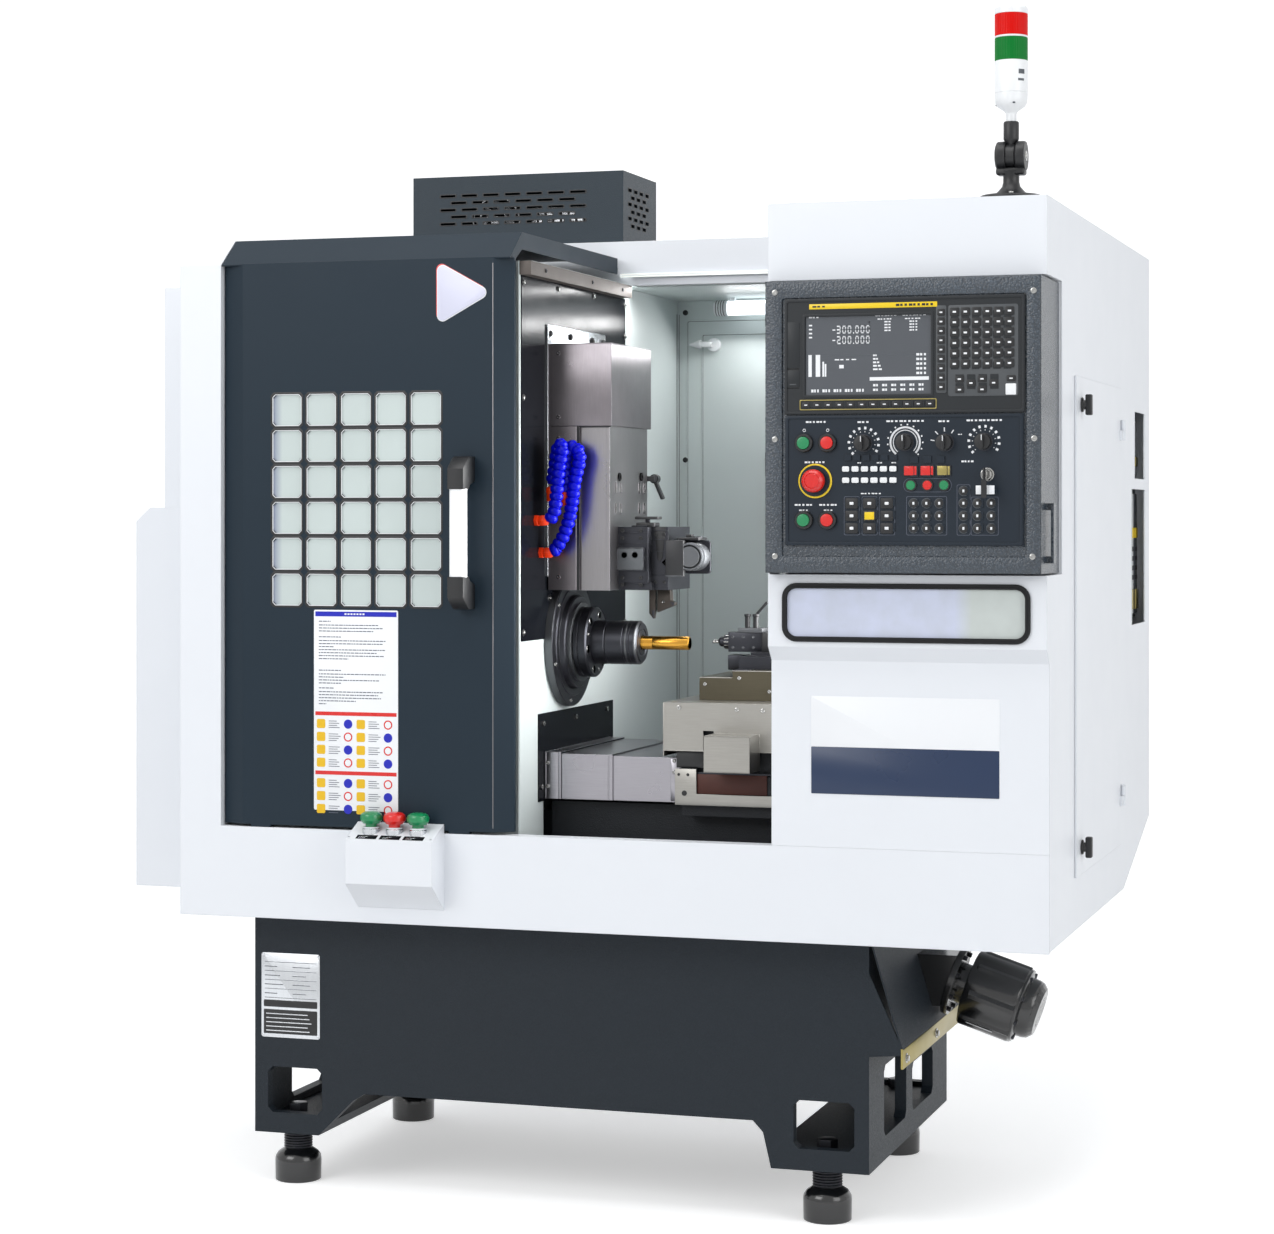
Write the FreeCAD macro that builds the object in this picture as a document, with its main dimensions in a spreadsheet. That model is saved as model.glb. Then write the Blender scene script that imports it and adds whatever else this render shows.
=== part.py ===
import FreeCAD
import Part
import math
import os
import Sketcher
from types import SimpleNamespace
from FreeCAD import Rotation, Vector

# A CNC turning lathe: sheet-metal enclosure on a cast base, open front doorway.
# The floor is z = 0, the front is -Y, and the right side, as the operator sees it, is +X.
# All lengths are in millimetres.
SIZES = {
    # enclosure
    "body_left": -755.0, "body_width": 1650.0, "body_front": -636.0, "body_depth": 1272.0,
    "skirt_bottom": 525.0, "skirt_top": 692.0, "roof_top": 1823.0, "sheet": 3.0,
    "pillar_width": 85.0, "fold_drop": 76.0, "door_roof_drop": 26.0,
    "roof_slope_depth": 62.0, "floor_fold": 255.0, "floor_rise": 111.0, "flange": 32.0,
    "roof_seam": 11.0, "louvre_bottom": 1500.0, "louvre_pitch": 24.0, "louvre_length": 220.0,
    "left_cover_front": -490.0, "left_cover_back": 380.0, "low_cover_reach": 169.0,
    "low_cover_bottom": 552.0, "low_cover_top": 1291.0, "high_cover_reach": 107.0,
    "high_cover_drop": 104.0,
    # base and feet
    "base_left": -645.0, "base_right": 556.0, "base_front": -540.0, "base_rear": 145.0,
    "base_bottom": 99.0, "base_rise": 38.0, "casting_wall": 22.0, "leg_plate": 30.0,
    "leg_width": 132.0, "leg_width_right": 181.0, "recess_top": 183.0, "leg_slope": 94.0,
    "foot_inset_left": 63.0, "foot_inset_right": 91.0, "foot_inset_front": 60.0,
    "foot_inset_rear": 43.0, "pocket_width": 112.0, "pocket_height": 87.0,
    "pocket_inset": 27.0, "pad_radius": 44.5, "pad_height": 61.0, "pad_dome": 16.0,
    "sleeve_radius": 27.5, "screw_radius": 15.0, "side_window_height": 130.0,
    "side_window_bottom": 142.0, "side_window_width": 188.0, "side_window_inset": 120.0,
    "side_window_gap": 53.0,
    # doorway, liner and bed
    "spindle_wall": -85.0, "liner_front": -600.0, "chamber_back": 394.0,
    "chamber_drop": 81.0, "beam_rise": 9.0, "rail_rise": 16.0, "bed_front": -434.0, "bed_back": -94.0,
    "splash_inset": 6.0, "splash_back": 20.0, "splash_foot": 1044.0,
    "low_splash_lap_front": 32.0, "low_splash_lap_back": 28.0, "low_splash_rise": 73.0,
    "bed_top": 738.0, "bed_inset": 165.0, "way_height": 18.0, "rail_width": 22.0,
    # sliding door
    "door_inset": 87.0, "door_clear": 5.0, "door_bottom": 697.0, "door_depth": 30.0,
    "door_clearance": 14.0, "door_roof_gap": 10.0, "window_inset": 104.0,
    "window_bottom": 1107.0, "window_pitch_across": 69.75, "window_pitch_up": 67.0,
    "window_hole": 60.0, "window_corner": 9.0, "pane": 4.0, "handle_inset": 100.0,
    "handle_bottom": 1104.0, "handle_height": 279.0, "handle_foot": 52.0,
    "handle_reach": 60.0, "handle_bar_radius": 14.0,
    # right cabinet and control box
    "cabinet_width": 493.0, "cabinet_proud": 24.0, "ledge_top": 1045.0, "ledge_slope": 25.0,
    "notch_bottom": 1172.0, "notch_drop": 136.0, "notch_depth": 155.0, "control_proud": 30.0,
    "control_gap": 3.0, "pane_inset_left": 26.0, "pane_inset_right": 28.0, "pane_bottom": 1054.0,
    "pane_top": 1157.0, "rubber": 14.0, "pane_radius": 26.0, "display_inset": 40.0,
    "display_width": 421.0, "display_bottom": 1451.0, "display_height": 200.0,
    "panel_bottom": 1223.0, "panel_height": 226.0, "panel_proud": 6.0,
    "button_radius": 11.0, "bezel_radius": 15.0, "knob_radius": 14.0, "stop_radius": 20.0,
    "stop_ring_radius": 27.0, "press_travel": 4.0, "stop_travel": 6.0,
    # side door
    "side_door_front": -367.0, "side_door_rear": 190.0, "side_door_bottom": 621.0,
    "side_door_top": 1528.0, "latch_inset": 57.0, "latch_low": 671.0, "latch_high": 1477.0,
    "side_door_lap": 20.0, "hinge_reach": 8.5, "hinge_radius": 4.7,
    # spindle
    "spindle_y": -346.0, "spindle_z": 1034.0, "shaft_radius": 45.0, "hub_reach": 36.0,
    "headstock_left": -470.0, "motor_left": -640.0, "nose_flange_radius": 123.0,
    "nose_flange_thick": 14.0, "hub_radius": 75.0, "ring_radius": 67.0,
    "chuck_radius": 41.5, "chuck_start": -21.0, "chuck_end": 71.0, "bar_radius": 13.0,
    "bar_end": 165.0, "running_gap": 0.05, "motor_radius": 118.0,
    # way cover, carriage, cross slide
    "cover_front": -470.0, "cover_back": -88.0, "cover_bottom": 745.0, "cover_top": 832.0,
    "cover_step": 2.3, "carriage_left": 159.0, "carriage_right": 560.0,
    "carriage_front": -500.0, "carriage_top": 932.0, "carriage_bottom": 843.0,
    "carriage_back": -60.0, "motor_box_left": 256.0, "motor_box_width": 86.0,
    "motor_box_front": -565.0, "motor_box_bottom": 811.0, "motor_box_height": 66.0,
    "cross_left": 205.0, "cross_right": 520.0, "cross_front": -420.0, "cross_back": -150.0,
    "cross_top": 975.0, "cross_step": 13.0, "drill_y": -300.0, "drill_z": 1036.0,
    "drill_radius": 3.5, "drill_holder_radius": 14.0, "drill_tip": 194.0,
    # vertical slide, tools and hoses
    "shell_left": -62.0, "shell_right": 45.0, "shell_front": -456.0, "shell_back": -212.0,
    "shell_bottom": 1135.0, "shell_cap": 155.0, "shell_drop": 225.0, "shell_cut": -18.0,
    "slide_gap": 4.0, "slide_rise": 100.0, "plate_drop": 189.0, "block_right": 99.0,
    "block_top": 1254.0, "block_front": -400.0, "block_back": -240.0, "tool_tip_x": 94.0,
    "tool_tip_z": 1080.0, "hose_radius": 9.5,
    # roof box, tower, modules, palm buttons, chute
    "vent_left": -569.0, "vent_width": 465.0, "vent_front": 70.0, "vent_depth": 227.0,
    "vent_height": 163.0, "slot_length": 33.0, "slot_height": 4.5, "slot_pitch": 48.0,
    "rear_vent_foot": 1051.0, "rear_vent_low_height": 279.0, "rear_vent_low_width": 204.0,
    "rear_vent_low_inset": 67.0, "rear_vent_gap": 22.0, "rear_vent_high_height": 138.0,
    "rear_vent_high_width": 150.0, "rear_vent_high_inset": 73.0, "module_foot": 1060.0,
    "module_height": 420.0, "module_width": 110.0, "module_depth": 170.0,
    "slot_rise": 14.6, "side_slot_pitch": 39.0, "module_pitch": 150.0, "tower_inset": 73.0,
    "tower_y": -598.0, "tower_radius": 29.0, "tower_pivot": 75.0, "tower_case": 165.0,
    "palm_left": -390.0, "palm_width": 171.0, "palm_top": 687.0, "palm_bottom": 551.0,
    "palm_reach": 60.0, "palm_slope": 50.0, "palm_radius": 20.0, "palm_travel": 5.0,
    "chute_reach": 61.0, "chute_bottom": 327.0, "chute_lip": 36.0, "chute_back": 31.0,
    "gear_y": -200.0, "gear_z": 404.0, "gear_radius": 74.0, "gear_tilt": 18.0,
}

doc = FreeCAD.newDocument("TurningLathe")
sheet_table = doc.addObject("Spreadsheet::Sheet", "Sizes")
NODES = {}


class Length:
    """A size that knows both its number and the expression that gives it."""

    def __init__(self, value, text):
        self.value = value
        self.text = text

    def __add__(self, other):
        return combined(self, "+", other, self.value + number(other))

    def __sub__(self, other):
        return combined(self, "-", other, self.value - number(other))

    def __mul__(self, other):
        return combined(self, "*", other, self.value * number(other))

    def __truediv__(self, other):
        return combined(self, "/", other, self.value / number(other))

    def __radd__(self, other):
        return length(other) + self

    def __rsub__(self, other):
        return length(other) - self

    def __rmul__(self, other):
        return length(other) * self

    def __neg__(self):
        return Length(-self.value, f"(0 - {self.text})")


def number(size):
    return size.value if isinstance(size, Length) else float(size)


def length(size):
    if isinstance(size, Length):
        return size
    return Length(float(size), f"({float(size)!r})")


def combined(left, sign, right, value):
    return Length(value, f"({left.text} {sign} {length(right).text})")


def fill_table():
    """Write the driving dimensions into the sheet and give each its alias."""
    named = {}
    for row, (name, value) in enumerate(SIZES.items(), start=1):
        sheet_table.set(f"A{row}", name)
        sheet_table.set(f"B{row}", str(value))
        sheet_table.setAlias(f"B{row}", name)
        named[name] = Length(value, f"Sizes.{name}")
    doc.recompute()
    return SimpleNamespace(**named)


d = fill_table()

# Places worked out from the driving dimensions.
BODY_RIGHT = d.body_left + d.body_width
BODY_BACK = d.body_front + d.body_depth
CABINET_FRONT = d.body_front - d.cabinet_proud
NOTCH_BACK = CABINET_FRONT + d.notch_depth
CONTROL_FRONT = CABINET_FRONT - d.control_proud
BASE_TOP = d.skirt_bottom + d.base_rise
FOLD_TOP = d.roof_top - d.fold_drop
DOOR_ROOF_TOP = d.roof_top - d.door_roof_drop
CHAMBER_TOP = d.roof_top - d.chamber_drop
BEAM_TOP = d.roof_top + d.beam_rise
NOTCH_TOP = d.roof_top - d.notch_drop
VENT_TOP = d.roof_top + d.vent_height
HIGH_COVER_TOP = d.roof_top - d.high_cover_drop
SHELL_TOP = d.roof_top - d.shell_drop
SHELL_BREAK = SHELL_TOP - d.shell_cap
PLATE_TOP = d.roof_top - d.plate_drop
BED_RIGHT = BODY_RIGHT - d.bed_inset
TOWER_X = BODY_RIGHT - d.tower_inset
PANEL_FACE = CONTROL_FRONT - d.panel_proud
CABINET_LEFT = BODY_RIGHT - d.cabinet_width
DISPLAY_LEFT = CABINET_LEFT + d.display_inset
DISPLAY_RIGHT = DISPLAY_LEFT + d.display_width
PANE_LEFT = CABINET_LEFT + d.pane_inset_left
PANE_RIGHT = BODY_RIGHT - d.pane_inset_right
DOOR_LEFT = d.body_left + d.door_inset
DOOR_RIGHT = d.spindle_wall - d.door_clear
WINDOW_LEFT = DOOR_LEFT + d.window_inset
HANDLE_LEFT = DOOR_RIGHT - d.handle_inset
# Sides of the many-sided bars that stand for small round pieces.
FLATS = 20


# ---------------------------------------------------------------- building blocks

def bind(thing, path, size):
    thing.setExpression(path, length(size).text)


def place(thing, x, y, z):
    for axis, size in zip("xyz", (x, y, z)):
        bind(thing, "Placement.Base." + axis, size)


def box(name, x, y, z):
    """A block between two places along each axis."""
    block = doc.addObject("Part::Box", name)
    for side, (low, high) in zip(("Length", "Width", "Height"), (x, y, z)):
        bind(block, side, length(high) - low)
    place(block, x[0], y[0], z[0])
    return block


TURNS = {
    "x": Rotation(Vector(0, 1, 0), 90),
    "y": Rotation(Vector(1, 0, 0), -90),
    "z": Rotation(),
}


def rod(name, axis, radius, start, end, across):
    """A round bar along an axis; across gives its two other coordinates in x, y, z order."""
    bar = doc.addObject("Part::Cylinder", name)
    bar.Placement.Rotation = TURNS[axis]
    bind(bar, "Radius", radius)
    bind(bar, "Height", length(end) - start)
    spot = list(across)
    spot.insert("xyz".index(axis), start)
    place(bar, *spot)
    return bar


def prism(name, axis, sides, radius, start, end, across):
    """A bar with a regular many-sided section."""
    bar = doc.addObject("Part::Prism", name)
    bar.Placement.Rotation = TURNS[axis]
    bar.Polygon = sides
    bind(bar, "Circumradius", radius)
    bind(bar, "Height", length(end) - start)
    spot = list(across)
    spot.insert("xyz".index(axis), start)
    place(bar, *spot)
    return bar


def bevelled(bar, end, width):
    """A many-sided bar with the edges round its foot or its head bevelled."""
    bar.recompute()
    level = {"foot": 0, "head": bar.Height.Value}[end]
    upright = bar.Placement.inverse()
    edges = []
    for i, edge in enumerate(bar.Shape.Edges, start=1):
        if all(abs(upright.multVec(dot.Point).z - level) < 0.001 for dot in edge.Vertexes):
            edges.append((i, number(width), number(width)))
    piece = doc.addObject("Part::Chamfer", bar.Name + "_bevelled")
    piece.Base = bar
    piece.Edges = edges
    return piece


def fused(name, *pieces):
    whole = doc.addObject("Part::MultiFuse", name)
    whole.Shapes = list(pieces)
    whole.Refine = True
    return whole


def grouped(name, pieces):
    """Separate solids that share one node."""
    group = doc.addObject("Part::Compound", name)
    group.Links = list(pieces)
    return group


def cut(name, base, *tools):
    result = doc.addObject("Part::Cut", name)
    result.Base = base
    result.Tool = tools[0] if len(tools) == 1 else grouped(name + "_tools", tools)
    return result


def node(name, thing):
    """Name a finished piece; the name is also its file's name."""
    thing.Label = name
    NODES[name] = thing
    return thing


PLANES = {"xy": "XY_Plane", "xz": "XZ_Plane", "yz": "YZ_Plane"}


def sketch_on(body, name, plane, level, outlines):
    """Closed outlines on one of the body's planes, each corner tied to the sheet."""
    sketch = body.newObject("Sketcher::SketchObject", name)
    role = PLANES[plane]
    flat = [item for item in body.Origin.OriginFeatures if item.Role == role]
    sketch.AttachmentSupport = [(flat[0], "")]
    sketch.MapMode = "FlatFace"
    outward = -length(level) if plane == "xz" else length(level)
    bind(sketch, "AttachmentOffset.Base.z", outward)
    for outline in outlines:
        add_outline(sketch, [(length(u), length(v)) for u, v in outline])
    return sketch


def add_outline(sketch, corners):
    first = sketch.GeometryCount
    count = len(corners)
    dots = [Vector(u.value, v.value, 0) for u, v in corners]
    lines = [Part.LineSegment(dots[i], dots[(i + 1) % count]) for i in range(count)]
    sketch.addGeometry(lines, False)
    rules = []
    for i in range(count):
        rules.append(Sketcher.Constraint("Coincident", first + i, 2, first + (i + 1) % count, 1))
    sketch.addConstraint(rules)
    for i, (u, v) in enumerate(corners):
        for kind, size in (("DistanceX", u), ("DistanceY", v)):
            rule = Sketcher.Constraint(kind, -1, 1, first + i, 1, size.value)
            index = sketch.addConstraint(rule)
            sketch.setExpression(f"Constraints[{index}]", size.text)


def padded(name, plane, outlines, start, end):
    """Outlines on a plane, padded from one place to another along its normal."""
    body = doc.addObject("PartDesign::Body", name)
    level = end if plane == "xz" else start
    sketch = sketch_on(body, name + "_sketch", plane, level, outlines)
    pad = body.newObject("PartDesign::Pad", name + "_pad")
    pad.Profile = sketch
    bind(pad, "Length", length(end) - start)
    return body


def inset(path, thick):
    """The path moved to its left side by a thickness, its corners mitred."""
    spots = [(number(u), number(v)) for u, v in path]
    ways = []
    for (u0, v0), (u1, v1) in zip(spots, spots[1:]):
        run = math.hypot(u1 - u0, v1 - v0)
        ways.append(((u1 - u0) / run, (v1 - v0) / run))
    inner = []
    for i, (u, v) in enumerate(path):
        before = ways[max(i - 1, 0)]
        after = ways[min(i, len(ways) - 1)]
        share = 1 + before[0] * after[0] + before[1] * after[1]
        side_u = -(before[1] + after[1]) / share
        side_v = (before[0] + after[0]) / share
        inner.append((length(u) + length(thick) * side_u, length(v) + length(thick) * side_v))
    return inner


def bent(name, plane, path, thick, start, end):
    """A folded sheet: a path on a plane, given a thickness and padded."""
    return padded(name, plane, [list(path) + inset(path, thick)[::-1]], start, end)


def turned(name, axis, profile, across):
    """A turned piece: profile lists radius and place along the axis."""
    body = doc.addObject("PartDesign::Body", name)
    outline = [(0, profile[0][1])] + list(profile) + [(0, profile[-1][1])]
    sketch = sketch_on(body, name + "_sketch", "xz", 0, [outline])
    spin = body.newObject("PartDesign::Revolution", name + "_turn")
    spin.Profile = sketch
    spin.ReferenceAxis = (sketch, ["V_Axis"])
    spin.Angle = 360
    body.Placement.Rotation = TURNS[axis]
    spot = list(across)
    spot.insert("xyz".index(axis), 0)
    place(body, *spot)
    return body


def broken_square(u0, u1, v0, v1, corner):
    """A rectangle with its corners cut at 45 degrees, run anticlockwise."""
    return [(u0 + corner, v0), (u1 - corner, v0), (u1, v0 + corner), (u1, v1 - corner),
            (u1 - corner, v1), (u0 + corner, v1), (u0, v1 - corner), (u0, v0 + corner)]


def pocket(body, name, plane, level, outlines, deep):
    """A cut from a plane, away from its normal."""
    sketch = sketch_on(body, name + "_sketch", plane, level, outlines)
    hole = body.newObject("PartDesign::Pocket", name)
    hole.Profile = sketch
    bind(hole, "Length", deep)
    return sketch, hole


def rows(body, name, sketch, original, pitch_across, across, pitch_up, up):
    """Repeat a feature across and up its sketch."""
    pattern = body.newObject("PartDesign::LinearPattern", name)
    pattern.Originals = [original]
    pattern.Direction = (sketch, ["H_Axis"])
    bind(pattern, "Length", length(pitch_across) * (across - 1))
    pattern.Occurrences = across
    if up > 1:
        pattern.Direction2 = (sketch, ["V_Axis"])
        bind(pattern, "Length2", length(pitch_up) * (up - 1))
        pattern.Occurrences2 = up
    body.Tip = pattern
    return pattern


# ---------------------------------------------------------------- base and feet

FOOT_X = (d.base_left + d.foot_inset_left, d.base_right - d.foot_inset_right)
FOOT_Y = (d.base_front + d.foot_inset_front, d.base_rear - d.foot_inset_rear)


def base_casting():
    """One casting: a box on four legs, open below, with leg pockets and side windows."""
    left_in = d.base_left + d.leg_width
    right_in = d.base_right - d.leg_width_right
    outline = [
        (d.base_left, d.base_bottom), (left_in, d.base_bottom),
        (left_in + d.leg_slope * 0.75, d.recess_top - 14), (left_in + d.leg_slope, d.recess_top),
        (right_in - 34, d.recess_top), (right_in - 15, d.recess_top - 20),
        (right_in, d.base_bottom), (d.base_right, d.base_bottom),
        (d.base_right, BASE_TOP), (d.base_left, BASE_TOP),
    ]
    blank = padded("base_blank", "xz", [outline], d.base_front, d.base_rear)
    wall = d.casting_wall
    cavity = box("base_cavity", (d.base_left + wall, d.base_right - wall),
                 (d.base_front + wall, d.base_rear - wall),
                 (d.base_bottom + d.leg_plate, BASE_TOP - wall))
    tools = [cavity]
    low = d.base_bottom + d.leg_plate + 9
    pocket_x = (d.base_left + d.pocket_inset, d.base_right - d.pocket_inset - d.pocket_width)
    for i, x in enumerate(pocket_x):
        outline = broken_square(x, x + d.pocket_width, low, low + d.pocket_height, 10)
        tools.append(padded(f"leg_pocket_{i}", "xz", [outline], d.base_front - 1, d.base_rear + 1))
    step = d.side_window_width + d.side_window_gap
    for i in range(2):
        start = d.base_front + d.side_window_inset + step * i
        top = d.side_window_bottom + d.side_window_height - 38 * i
        outline = broken_square(start, start + d.side_window_width, d.side_window_bottom, top, 12)
        tools.append(padded(f"side_window_{i}", "yz", [outline], d.base_left - 1, d.base_right + 1))
    for i, x in enumerate(FOOT_X):
        for j, y in enumerate(FOOT_Y):
            tools.append(prism(f"screw_hole_{i}{j}", "z", 16, d.screw_radius + 0.3,
                               d.base_bottom - 1, d.base_bottom + d.leg_plate + 1, (x, y)))
    node("base_casting", cut("base_hollow", blank, *tools))


def leveling_feet():
    """Four domed pads; on each a sleeve that bears the leg, and a screw with a hexagon head."""
    pieces = []
    spots = [(x, y) for x in FOOT_X for y in FOOT_Y]
    leg_top = d.base_bottom + d.leg_plate
    for i, (x, y) in enumerate(spots):
        pad = prism(f"pad_{i}", "z", FLATS, d.pad_radius, 0, d.pad_height, (x, y))
        pieces.append(bevelled(pad, "head", d.pad_dome))
        sleeve = prism(f"sleeve_{i}", "z", FLATS, d.sleeve_radius, d.pad_height, d.base_bottom,
                       (x, y))
        stem = prism(f"screw_{i}", "z", 16, d.screw_radius, d.base_bottom, leg_top, (x, y))
        head = prism(f"screw_head_{i}", "z", 6, d.screw_radius * 1.3, leg_top, leg_top + 18, (x, y))
        pieces.append(fused(f"leveling_screw_{i}", sleeve, stem, head))
    node("leveling_feet", grouped("feet", pieces))


# ---------------------------------------------------------------- enclosure

# The front of the roof over the sliding door, from its back edge to the skirt.
FRONT_PROFILE = [
    (0, DOOR_ROOF_TOP), (d.body_front + d.roof_slope_depth, DOOR_ROOF_TOP),
    (d.body_front, FOLD_TOP), (d.body_front, d.skirt_top),
]
# The rear of the body: floor, sloped underside, back and roof.
REAR_PROFILE = [
    (d.body_front + d.sheet, d.skirt_bottom), (d.floor_fold, d.skirt_bottom),
    (BODY_BACK, d.skirt_bottom + d.floor_rise), (BODY_BACK, d.roof_top),
    (d.roof_seam, d.roof_top),
]


def enclosure_shell():
    """Floor, rear and roof folded from one sheet, welded to the left wall."""
    t = d.sheet
    wrap = bent("shell_wrap", "yz", REAR_PROFILE, t, d.body_left, BODY_RIGHT - t)
    inner_front = inset(FRONT_PROFILE, t)
    outline = REAR_PROFILE + [(d.roof_seam, DOOR_ROOF_TOP - t)] + inner_front[1:3]
    wall = padded("shell_left_wall", "yz", [outline], d.body_left, d.body_left + t)
    whole = fused("shell_joined", wrap, wall)
    gap = 0.5
    hole = box("base_opening", (d.base_left - gap, d.base_right + gap),
               (d.base_front - gap, d.base_rear + gap),
               (d.skirt_bottom - 1, d.skirt_bottom + t + 1))
    louvres = []
    for i in range(6):
        low = d.louvre_bottom + d.louvre_pitch * i
        louvres.append(box(f"rear_louvre_{i}", (d.body_left + 200, d.body_left + 200 + d.louvre_length),
                           (BODY_BACK - t - 1, BODY_BACK + 1), (low, low + 8)))
    node("enclosure_shell", cut("shell_open", whole, hole, *louvres))


def left_covers():
    """Two sheet boxes that stand off the left side over the rear end of the spindle."""
    t = d.sheet
    out = d.body_left - d.low_cover_reach
    front, back = d.left_cover_front, d.left_cover_back
    low, middle, top = d.low_cover_bottom, d.low_cover_top, HIGH_COVER_TOP
    outline = [(d.body_left, low), (d.body_left, middle), (out + 30, middle),
               (out, middle - 27), (out, low)]
    inner = [(d.body_left + 1, low + t), (d.body_left + 1, middle - t),
             (out + 30 + t * 0.4, middle - t), (out + t, middle - 27 - t * 0.4), (out + t, low + t)]
    lower = cut("lower_cover", padded("lower_cover_outer", "xz", [outline], front, back),
                padded("lower_cover_inner", "xz", [inner], front + t, back - t))
    left = d.body_left - d.high_cover_reach
    upper = cut("upper_cover",
                box("upper_cover_outer", (left, d.body_left), (front, back), (middle, top)),
                box("upper_cover_inner", (left + t, d.body_left + 1), (front + t, back - t),
                    (middle + t, top - t)))
    node("left_covers", grouped("left_cover_pair", [lower, upper]))


def hinge_leaf(name, x, y, z, wide):
    """The fixed half of a side-door hinge: a plate with a knuckle on its edge."""
    plate = box(name + "_plate", (x, x + d.hinge_reach), (y + 0.5, y + wide), (z, z + 20))
    knuckle = prism(name + "_knuckle", "z", 12, d.hinge_radius, z, z + 20,
                    (x + d.hinge_reach, y))
    return [plate, knuckle]


def right_side_panel():
    """The right wall: notch for the control box, side-door opening, rear vents and hinges."""
    t = d.sheet
    outline = REAR_PROFILE[:4] + [
        (d.body_front + t, d.roof_top), (d.body_front + t, NOTCH_TOP),
        (NOTCH_BACK, NOTCH_TOP), (NOTCH_BACK, d.notch_bottom),
        (d.body_front + t, d.notch_bottom),
    ]
    blank = padded("right_wall", "yz", [outline], BODY_RIGHT - t, BODY_RIGHT)
    span = (BODY_RIGHT - t - 1, BODY_RIGHT + 1)
    rim = d.side_door_lap
    opening = box("side_opening", span, (d.side_door_front + rim, d.side_door_rear - rim),
                  (d.side_door_bottom + rim, d.side_door_top - rim))
    low_back = BODY_BACK - d.rear_vent_low_inset
    high_back = BODY_BACK - d.rear_vent_high_inset
    high_foot = d.rear_vent_foot + d.rear_vent_low_height + d.rear_vent_gap
    vents = [box("rear_vent_high", span, (high_back - d.rear_vent_high_width, high_back),
                 (high_foot, high_foot + d.rear_vent_high_height)),
             box("rear_vent_low", span, (low_back - d.rear_vent_low_width, low_back),
                 (d.rear_vent_foot, d.rear_vent_foot + d.rear_vent_low_height))]
    leaves = []
    for i, z in enumerate(HINGE_Z):
        leaves += hinge_leaf(f"side_hinge_{i}", BODY_RIGHT, d.side_door_rear, z + 0.3, 16)
    open_wall = cut("right_wall_open", blank, opening, *vents)
    node("right_side_panel", fused("right_wall_hinged", open_wall, *leaves))


HINGE_Z = (d.side_door_bottom + 98, d.side_door_top - 83)


def front_frame():
    """The front skirt and the left pillar with its sloped top, one welded frame."""
    t = d.sheet
    front, low = d.body_front, d.skirt_bottom - t
    path = [(front + d.flange, d.skirt_top), (front, d.skirt_top), (front, low),
            (front + d.flange, low)]
    skirt = bent("skirt", "yz", path, t, d.body_left + t, BODY_RIGHT - t)
    face = box("skirt_face", (d.body_left, BODY_RIGHT), (front, front + t), (low, d.skirt_top))
    right = d.body_left + d.pillar_width
    profile = FRONT_PROFILE[:3] + [(front, d.skirt_top - t)]
    pillar = bent("pillar", "yz", profile, t, d.body_left, right)
    inner = box("pillar_return", (right - t, right), (front, front + d.flange - 4),
                (d.skirt_top - t, FOLD_TOP - 2))
    node("front_frame", fused("front_frame_joined", skirt, face, pillar, inner))


def chamber_liner():
    """The inner liner: headstock front and top, spindle wall, back wall and ceiling."""
    t = d.sheet
    wall, top = d.spindle_wall, CHAMBER_TOP
    foot = d.skirt_bottom + t
    left, right = d.body_left + t, BODY_RIGHT - t
    front = d.body_front + d.door_depth + d.door_clearance
    back = d.chamber_back
    cover = bent("liner_cover", "yz", [(back + t, top), (front, top), (front, foot)], t, left, wall)
    slope = d.floor_rise / (BODY_BACK - d.floor_fold)
    floor = d.skirt_bottom + t * 1.1
    rear_foot = floor + (back + t - d.floor_fold) * slope
    outline = [(d.liner_front, BASE_TOP), (d.floor_fold + (BASE_TOP - floor) / slope, BASE_TOP),
               (back + t, rear_foot), (back + t, top), (d.liner_front, top)]
    side = padded("liner_side", "yz", [outline], wall - t, wall)
    rear = box("liner_rear", (wall, right), (back, back + t), (rear_foot, top))
    ceiling = box("liner_ceiling", (wall, right), (d.roof_seam, back + t), (top - t, top))
    rail = box("door_rail", (wall - t, wall + d.rail_width), (front, 0), (top - 25, top))
    whole = fused("liner_joined", cover, side, rear, ceiling, rail)
    way = 0.5
    tunnel = box("cover_tunnel", (wall - t - 1, wall + 1), (d.cover_front - way, d.cover_back + way),
                 (foot - 1, d.cover_top + way))
    nose = rod("nose_hole", "x", d.hub_radius + 5, wall - t - 1, wall + 1, SPINDLE)
    node("chamber_liner", cut("liner_open", whole, tunnel, nose))


SPINDLE = (d.spindle_y, d.spindle_z)


def splash_plates():
    """Dark plates on the spindle wall, and the fixed hood of the way cover."""
    wall = d.spindle_wall
    t = 2
    way = 0.5
    upper = cut("upper_splash",
                box("upper_splash_blank", (wall, wall + t),
                    (d.liner_front + d.splash_inset, d.splash_back),
                    (d.splash_foot, CHAMBER_TOP - 25)),
                rod("upper_splash_hole", "x", d.hub_radius + 5, wall - 1, wall + t + 1, SPINDLE))
    lower = cut("lower_splash",
                box("lower_splash_blank", (wall, wall + t),
                    (d.cover_front - d.low_splash_lap_front, d.cover_back + d.low_splash_lap_back),
                    (d.cover_bottom - 4, d.cover_top + d.low_splash_rise)),
                box("lower_splash_hole", (wall - 1, wall + t + 1),
                    (d.cover_front - way, d.cover_back + way),
                    (d.cover_bottom - 5, d.cover_top + way)))
    fixed = hood("hood_fixed", wall, wall + 35, 0)
    node("splash_plates", grouped("splash_set", [upper, lower, fixed]))


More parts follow.
